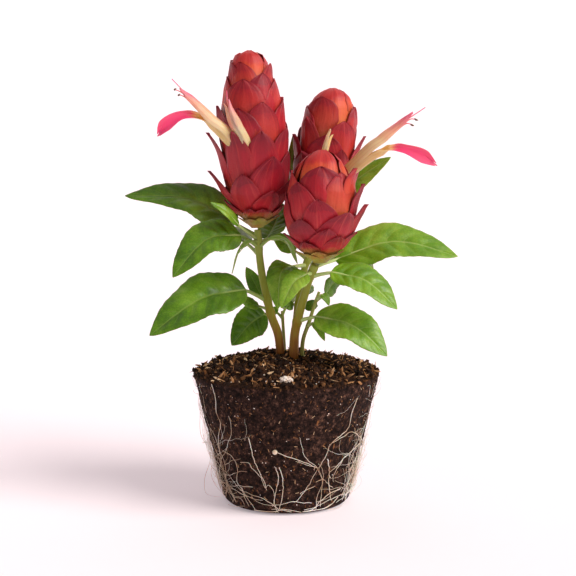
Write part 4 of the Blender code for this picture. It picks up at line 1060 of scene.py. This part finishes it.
random.seed(17)
for name, spike in SPIKES.items():
    tall = (Vector(spike["top"]) - Vector(spike["foot"])).length
    shape, tones = ([], [], []), []
    way = [spike_axis(spike, tall * share) * MM for share in (0.0, 0.3, 0.6, CORE_TOP)]

    def core_radius(share, turn):
        filled = 0.70 + 0.38 * max(0.0, share - 0.6)
        within = filled * table(spike["envelope"], tall * share * CORE_TOP)
        return max(STALK * (share < 0.9), within) * MM

    add_tube(shape, way, core_radius, 20, 30,
             lambda share, turn: (0.5, 0.6, max(0.0, 0.9 - share * tall / GREEN_BASE)))
    young_from = way[-1].z - YOUNG_TOP * MM
    tones.extend([(float(spot.z > young_from), 1.0, 0.0) for spot in shape[0]])
    for degrees, tips in spike["ranks"]:
        for tip in tips:
            stands_off = tip < 0
            scattered = abs(tip) > SMALL_TIP and abs(tip) != HELD_TIP
            tip = abs(tip) + random.uniform(-TIP_SCATTER, TIP_SCATTER) * scattered
            share = tip / tall
            splay = spike["splay"] if stands_off else random.choice((0.0, 0.3, 0.6, 1.4))
            turn = math.radians(degrees + random.uniform(-TURN_SCATTER, TURN_SCATTER))
            young = max(0.0, min(1.0, (share - 0.80) * 2.6 + random.uniform(-0.35, 0.45)))
            old = max(0.0, min(1.0, 0.5 - 0.4 * share + random.uniform(-0.5, 0.5) + 0.4 * stands_off))
            add_bract(shape, tones, name, turn, tip, splay, (young, old, random.random()), BRACT_OUTLINE)
    for degrees, tip in spike["buds"]:
        kind = (1.0, 0.0, random.random())
        add_bract(shape, tones, name, math.radians(degrees), tip, 0.0, kind, BUD_OUTLINE)
    piece(name + "_bracts", shape[0], shape[1], bract_skin, [name],
          marks={"mark": shape[2], "tone": tones})

# The flowers: each grows from behind a bract as an apricot tube that parts into an upper hood with a
# notched tip, and a lower lip that ends in three magenta lobes. The style runs under the hood.

FLOWERS = {
    # for each half of the corolla, its path and its form: share of the path, half width round the
    # bend, bend in radians, distance off the path and twist in radians; then how magenta it is, the
    # paths of the style and the filaments, and the places of the anthers
    "flower_left_open": {
        "hood": ((-15.6, -6.0, 137.5), (-18.0, -8.4, 142.6), (-23.6, -12.7, 149), (-30.4, -16.8, 155.6),
                 (-35.6, -18.5, 161.6), (-41.5, -20.4, 166.8)),
        "hood_form": ((0, 2.6, 1.7, 1.5, 0), (0.3, 4.4, 1.7, 2.5, 0), (0.48, 5.4, 1.6, 3.1, 0),
                      (0.62, 4.9, 1.5, 2.5, -0.2), (0.85, 3.3, 1.4, 1.5, -0.3), (1.0, 1.9, 1.2, 0.8, -0.3)),
        "lip": ((-15.6, -6.0, 137.5), (-18.0, -8.4, 142.6), (-23.6, -12.7, 149), (-29.8, -16.6, 154.8),
                (-35.6, -18.5, 156.8), (-41.4, -20, 156.2), (-46.4, -21.5, 152.8), (-49.6, -22.5, 148.6)),
        "lip_form": ((0, 2.6, 1.7, 1.5, 0), (0.25, 4.2, 1.7, 2.4, 0), (0.38, 4.0, 1.5, 2.4, 0),
                     (0.50, 2.2, 1.0, 0.9, 0.6), (0.66, 2.1, 0.8, 0.2, 1.0), (0.88, 3.0, 0.6, 0.0, 1.2),
                     (1.0, 2.6, 0.5, 0.0, 1.2)),
        "blush": 1.0,
        "threads": (((-33, -17.6, 158.2), (-38, -19.6, 164.2), (-44, -21.4, 170.6)),
                    ((-35, -18.2, 160), (-39.8, -20.2, 165), (-42.8, -21.4, 166.6)),
                    ((-34.6, -18, 159), (-38.8, -20, 163.4), (-41.2, -21.2, 164.6))),
        "anthers": ((-42.9, -21.4, 166.5), (-41.4, -21.2, 164.4))},
    "flower_left_half_open": {
        "hood": ((-15.2, -8.6, 138.5), (-16.0, -10.8, 144), (-18.2, -13.4, 149.5), (-21.0, -15.3, 156),
                 (-23.2, -16.2, 163.0)),
        "hood_form": ((0, 3.0, 1.75, 1.7, 0), (0.4, 5.2, 1.75, 2.9, 0), (0.7, 4.6, 1.7, 2.4, 0),
                      (1.0, 1.9, 1.4, 1.0, 0)),
        "lip": ((-15.2, -8.6, 138.5), (-16.0, -10.8, 144), (-18.2, -13.4, 149.5), (-21.0, -15.4, 155.8),
                (-23.6, -16.4, 162.0)),
        "lip_form": ((0, 3.0, 1.75, 1.7, 0), (0.4, 5.0, 1.7, 2.8, 0), (0.7, 4.3, 1.6, 2.2, 0),
                     (1.0, 1.7, 1.3, 0.9, 0)),
        "blush": 0.42,
        "threads": (((-21, -15.8, 155), (-22.8, -16.4, 161), (-23.2, -16.8, 166.4)),), "anthers": ()},
    "flower_right_open": {
        "hood": ((20.8, 0.8, 129.6), (25.6, -3.4, 135.6), (35.2, -6.8, 144.4), (42, -8.4, 151),
                 (50.2, -10.0, 158.0)),
        "hood_form": ((0, 2.6, 1.7, 1.5, 0), (0.3, 4.8, 1.7, 2.8, 0), (0.5, 5.7, 1.6, 3.3, 0),
                      (0.65, 4.9, 1.5, 2.5, -0.2), (0.85, 3.3, 1.4, 1.5, -0.3), (1.0, 1.9, 1.2, 0.8, -0.3)),
        "lip": ((20.8, 0.8, 129.6), (25.6, -3.4, 135.6), (35.6, -7, 143.2), (43, -9.4, 144.4),
                (51.4, -11, 142.0), (59.4, -12.4, 137.4)),
        "lip_form": ((0, 2.6, 1.7, 1.5, 0), (0.28, 4.6, 1.7, 2.7, 0), (0.44, 4.4, 1.5, 2.7, 0),
                     (0.56, 2.2, 1.0, 0.8, 0.6), (0.68, 2.3, 0.8, 0.2, 1.0), (0.88, 3.1, 0.6, 0.0, 1.2),
                     (1.0, 2.7, 0.5, 0.0, 1.2)),
        "blush": 1.0,
        "threads": (((38, -7.6, 147), (45, -9.8, 153.6), (54.6, -11, 160.2)),
                    ((42, -8.6, 150), (48, -10.6, 155.2), (50.8, -11.4, 155.6)),
                    ((41, -8.6, 149), (46.6, -10.6, 153.6), (49.2, -11.4, 153.6))),
        "anthers": ((50.9, -11.4, 155.4), (49.3, -11.4, 153.3))},
    "flower_right_bud": {
        "hood": ((12.6, -10.6, 134.6), (14.8, -8.8, 142), (17.0, -8.0, 149), (18.1, -8.0, 151.6)),
        "hood_form": ((0, 1.7, 1.7, 1.0, 0), (0.5, 2.0, 1.6, 1.2, 0), (1.0, 1.3, 1.3, 0.9, 0)),
        "lip": ((12.6, -10.6, 134.6), (14.8, -8.8, 142), (16.4, -8.0, 148), (17.3, -8.0, 150.2)),
        "lip_form": ((0, 1.6, 1.6, 1.0, 0), (0.5, 1.8, 1.4, 1.3, 0), (1.0, 1.1, 1.2, 1.3, 0)),
        "blush": 0.0, "threads": (), "anthers": ()},
}
PETAL_SHEET = 0.28
PETAL_ROWS, PETAL_CELLS = 56, 20
TOWARD_CAMERA = Vector((0, -1, 0))

# Corolla: thin moist petal, nearly translucent apricot that blushes to magenta at the lip, with four
# lengthwise veins in each half. The anthers are dark.
petal, tree, shader = new_material("corolla_petal", 0.45, Subsurface_Weight=0.6, Subsurface_Scale=1.6 * MM,
                                   Subsurface_Radius=(1.0, 0.6, 0.4))
where = add(tree, "ShaderNodeTexCoord").outputs["Object"]
mark = add(tree, "ShaderNodeSeparateXYZ", {0: add(tree, "ShaderNodeAttribute",
                                                 attribute_name="mark").outputs["Vector"]})
kind = add(tree, "ShaderNodeSeparateXYZ", {0: add(tree, "ShaderNodeAttribute",
                                                 attribute_name="tone").outputs["Vector"]})
mottle = add(tree, "ShaderNodeTexNoise", {"Vector": where, "Scale": 260.0, "Detail": 4.0})
blush = add(tree, "ShaderNodeMath", {0: mottle, 1: 0.25, 2: kind.outputs[0]}, operation="MULTIPLY_ADD")
colour = add(tree, "ShaderNodeValToRGB", {0: blush},
             stops=[(0.05, "#f3c277"), (0.35, "#fad0a0"), (0.58, "#f7a58c"), (0.80, "#f4688a"),
                    (1.0, "#f03c78")])
lines = add(tree, "ShaderNodeMath", {0: mark.outputs[0], 1: 4.0}, operation="MULTIPLY")
lines = add(tree, "ShaderNodeMath", {0: lines, 1: 0.5}, operation="PINGPONG")
line = add(tree, "ShaderNodeMapRange", {"Value": lines, "From Max": 0.2,
                                        "To Min": 0.22, "To Max": 0.0}, interpolation_type="SMOOTHSTEP")
lined = add(tree, "ShaderNodeMix", {"Factor_Float": line, "A_Color": colour,
                                    "B_Color": srgb("#d9566a")}, data_type="RGBA")
dark = add(tree, "ShaderNodeMix", {"Factor_Float": kind.outputs[1], "A_Color": lined,
                                   "B_Color": srgb("#33202a")}, data_type="RGBA")
bump = add(tree, "ShaderNodeBump", {"Height": line, "Strength": 0.3, "Distance": 0.2 * MM})
connect(tree, shader, {"Base Color": dark, "Normal": bump})


def form_at(rows, share):
    """The numbers of a form table at a share of the path, eased between its rows."""
    for low, high in zip(rows, rows[1:]):
        if share <= high[0]:
            t = (share - low[0]) / (high[0] - low[0])
            t = t * t * (3 - 2 * t)
            return [first + (second - first) * t for first, second in zip(low[1:], high[1:])]
    return rows[-1][1:]


def add_petal(shape, tones, way, rows, upper, ends, tone_of):
    """Adds one half of a corolla: a shell bent round its path that flattens as it leaves the tube."""
    spots, normals = [], []
    for row in range(PETAL_ROWS + 1):
        share = row / PETAL_ROWS
        half, bend, off, twist = form_at(rows, share)
        half *= min(1.0, (1.015 - share) * 9) ** 0.5
        line, ups = [], []
        for cell in range(PETAL_CELLS + 1):
            u = 2 * cell / PETAL_CELLS - 1
            reach = share * ends(u)
            centre = curve_point(way, reach)
            along = (curve_point(way, reach + 0.02) - curve_point(way, reach - 0.02)).normalized()
            side = along.cross(TOWARD_CAMERA).normalized()
            if (side.z > 0) != upper:
                side = -side
            front = side.cross(along)
            if front.y > 0:
                front = -front
            back = side * math.cos(twist) - front * math.sin(twist)
            over = back.cross(along)
            turn = u * bend
            bow = half / bend
            outward = back * math.cos(turn) + over * math.sin(turn)
            line.append((centre + back * (off - bow) + outward * bow) * MM)
            ups.append(outward * MM)
        spots.append(line)
        normals.append(ups)
    middle = PETAL_CELLS // 2
    start = spots[0][middle]
    facing = (spots[1][middle] - start).cross(spots[0][middle + 1] - start)
    if facing.dot(normals[0][middle]) > 0:
        spots = [list(reversed(line)) for line in spots]
        normals = [list(reversed(ups)) for ups in normals]
    before = len(shape[0])
    add_sheet(shape, spots, normals, PETAL_SHEET, lambda u, share, side: (u, share, side))
    for spot in shape[2][before:]:
        tones.append(tone_of(spot[0], spot[1]))


for name, flower in FLOWERS.items():
    shape, tones = ([], [], []), []
    blush = flower["blush"]
    rosy = min(1.0, 0.55 + blush)
    add_petal(shape, tones, [Vector(spot) for spot in flower["hood"]], flower["hood_form"], True,
              lambda u: 1.0 - 0.07 * math.exp(-(u / 0.3) ** 2) + 0.012 * math.sin(u * 19),
              lambda u, share: (0.02 + 0.95 * rosy * max(0.0, share - 0.28) ** 1.1, 0.0, 0.0))
    add_petal(shape, tones, [Vector(spot) for spot in flower["lip"]], flower["lip_form"], False,
              lambda u: 1.0 - 0.06 * math.exp(-((abs(u) - 0.42) / 0.12) ** 2) - 0.03 * u * u,
              lambda u, share: (0.03 + 1.6 * blush * min(0.62, max(0.0, share - 0.52) * 4.0), 0.0, 0.0))
    for thread in flower["threads"]:
        before = len(shape[0])
        way = [Vector(spot) * MM for spot in thread]
        add_tube(shape, way, lambda share, turn: (0.30 - 0.12 * share) * MM, 8, 24,
                 lambda share, turn: (0.3, share, 0))
        tones.extend([(0.25 + 0.5 * m[1], 0.0, 0.0) for m in shape[2][before:]])
    for spot in flower["anthers"]:
        before = len(shape[0])
        spot = Vector(spot)
        along = Vector((0.6 if spot.x > 0 else -0.6, -0.2, -0.5))
        way = [(spot - along * 1.0) * MM, spot * MM, (spot + along * 1.0 + Vector((0.3, 0, 0.2))) * MM]
        add_tube(shape, way, lambda share, turn: (0.12 + 0.30 * math.sin(math.pi * share)) * MM, 10, 10,
                 lambda share, turn: (0.3, share, 0))
        tones.extend([(0.2, 0.85, 0.0)] * (len(shape[0]) - before))
    piece(name + "_petals", shape[0], shape[1], petal, [name],
          marks={"mark": shape[2], "tone": tones})
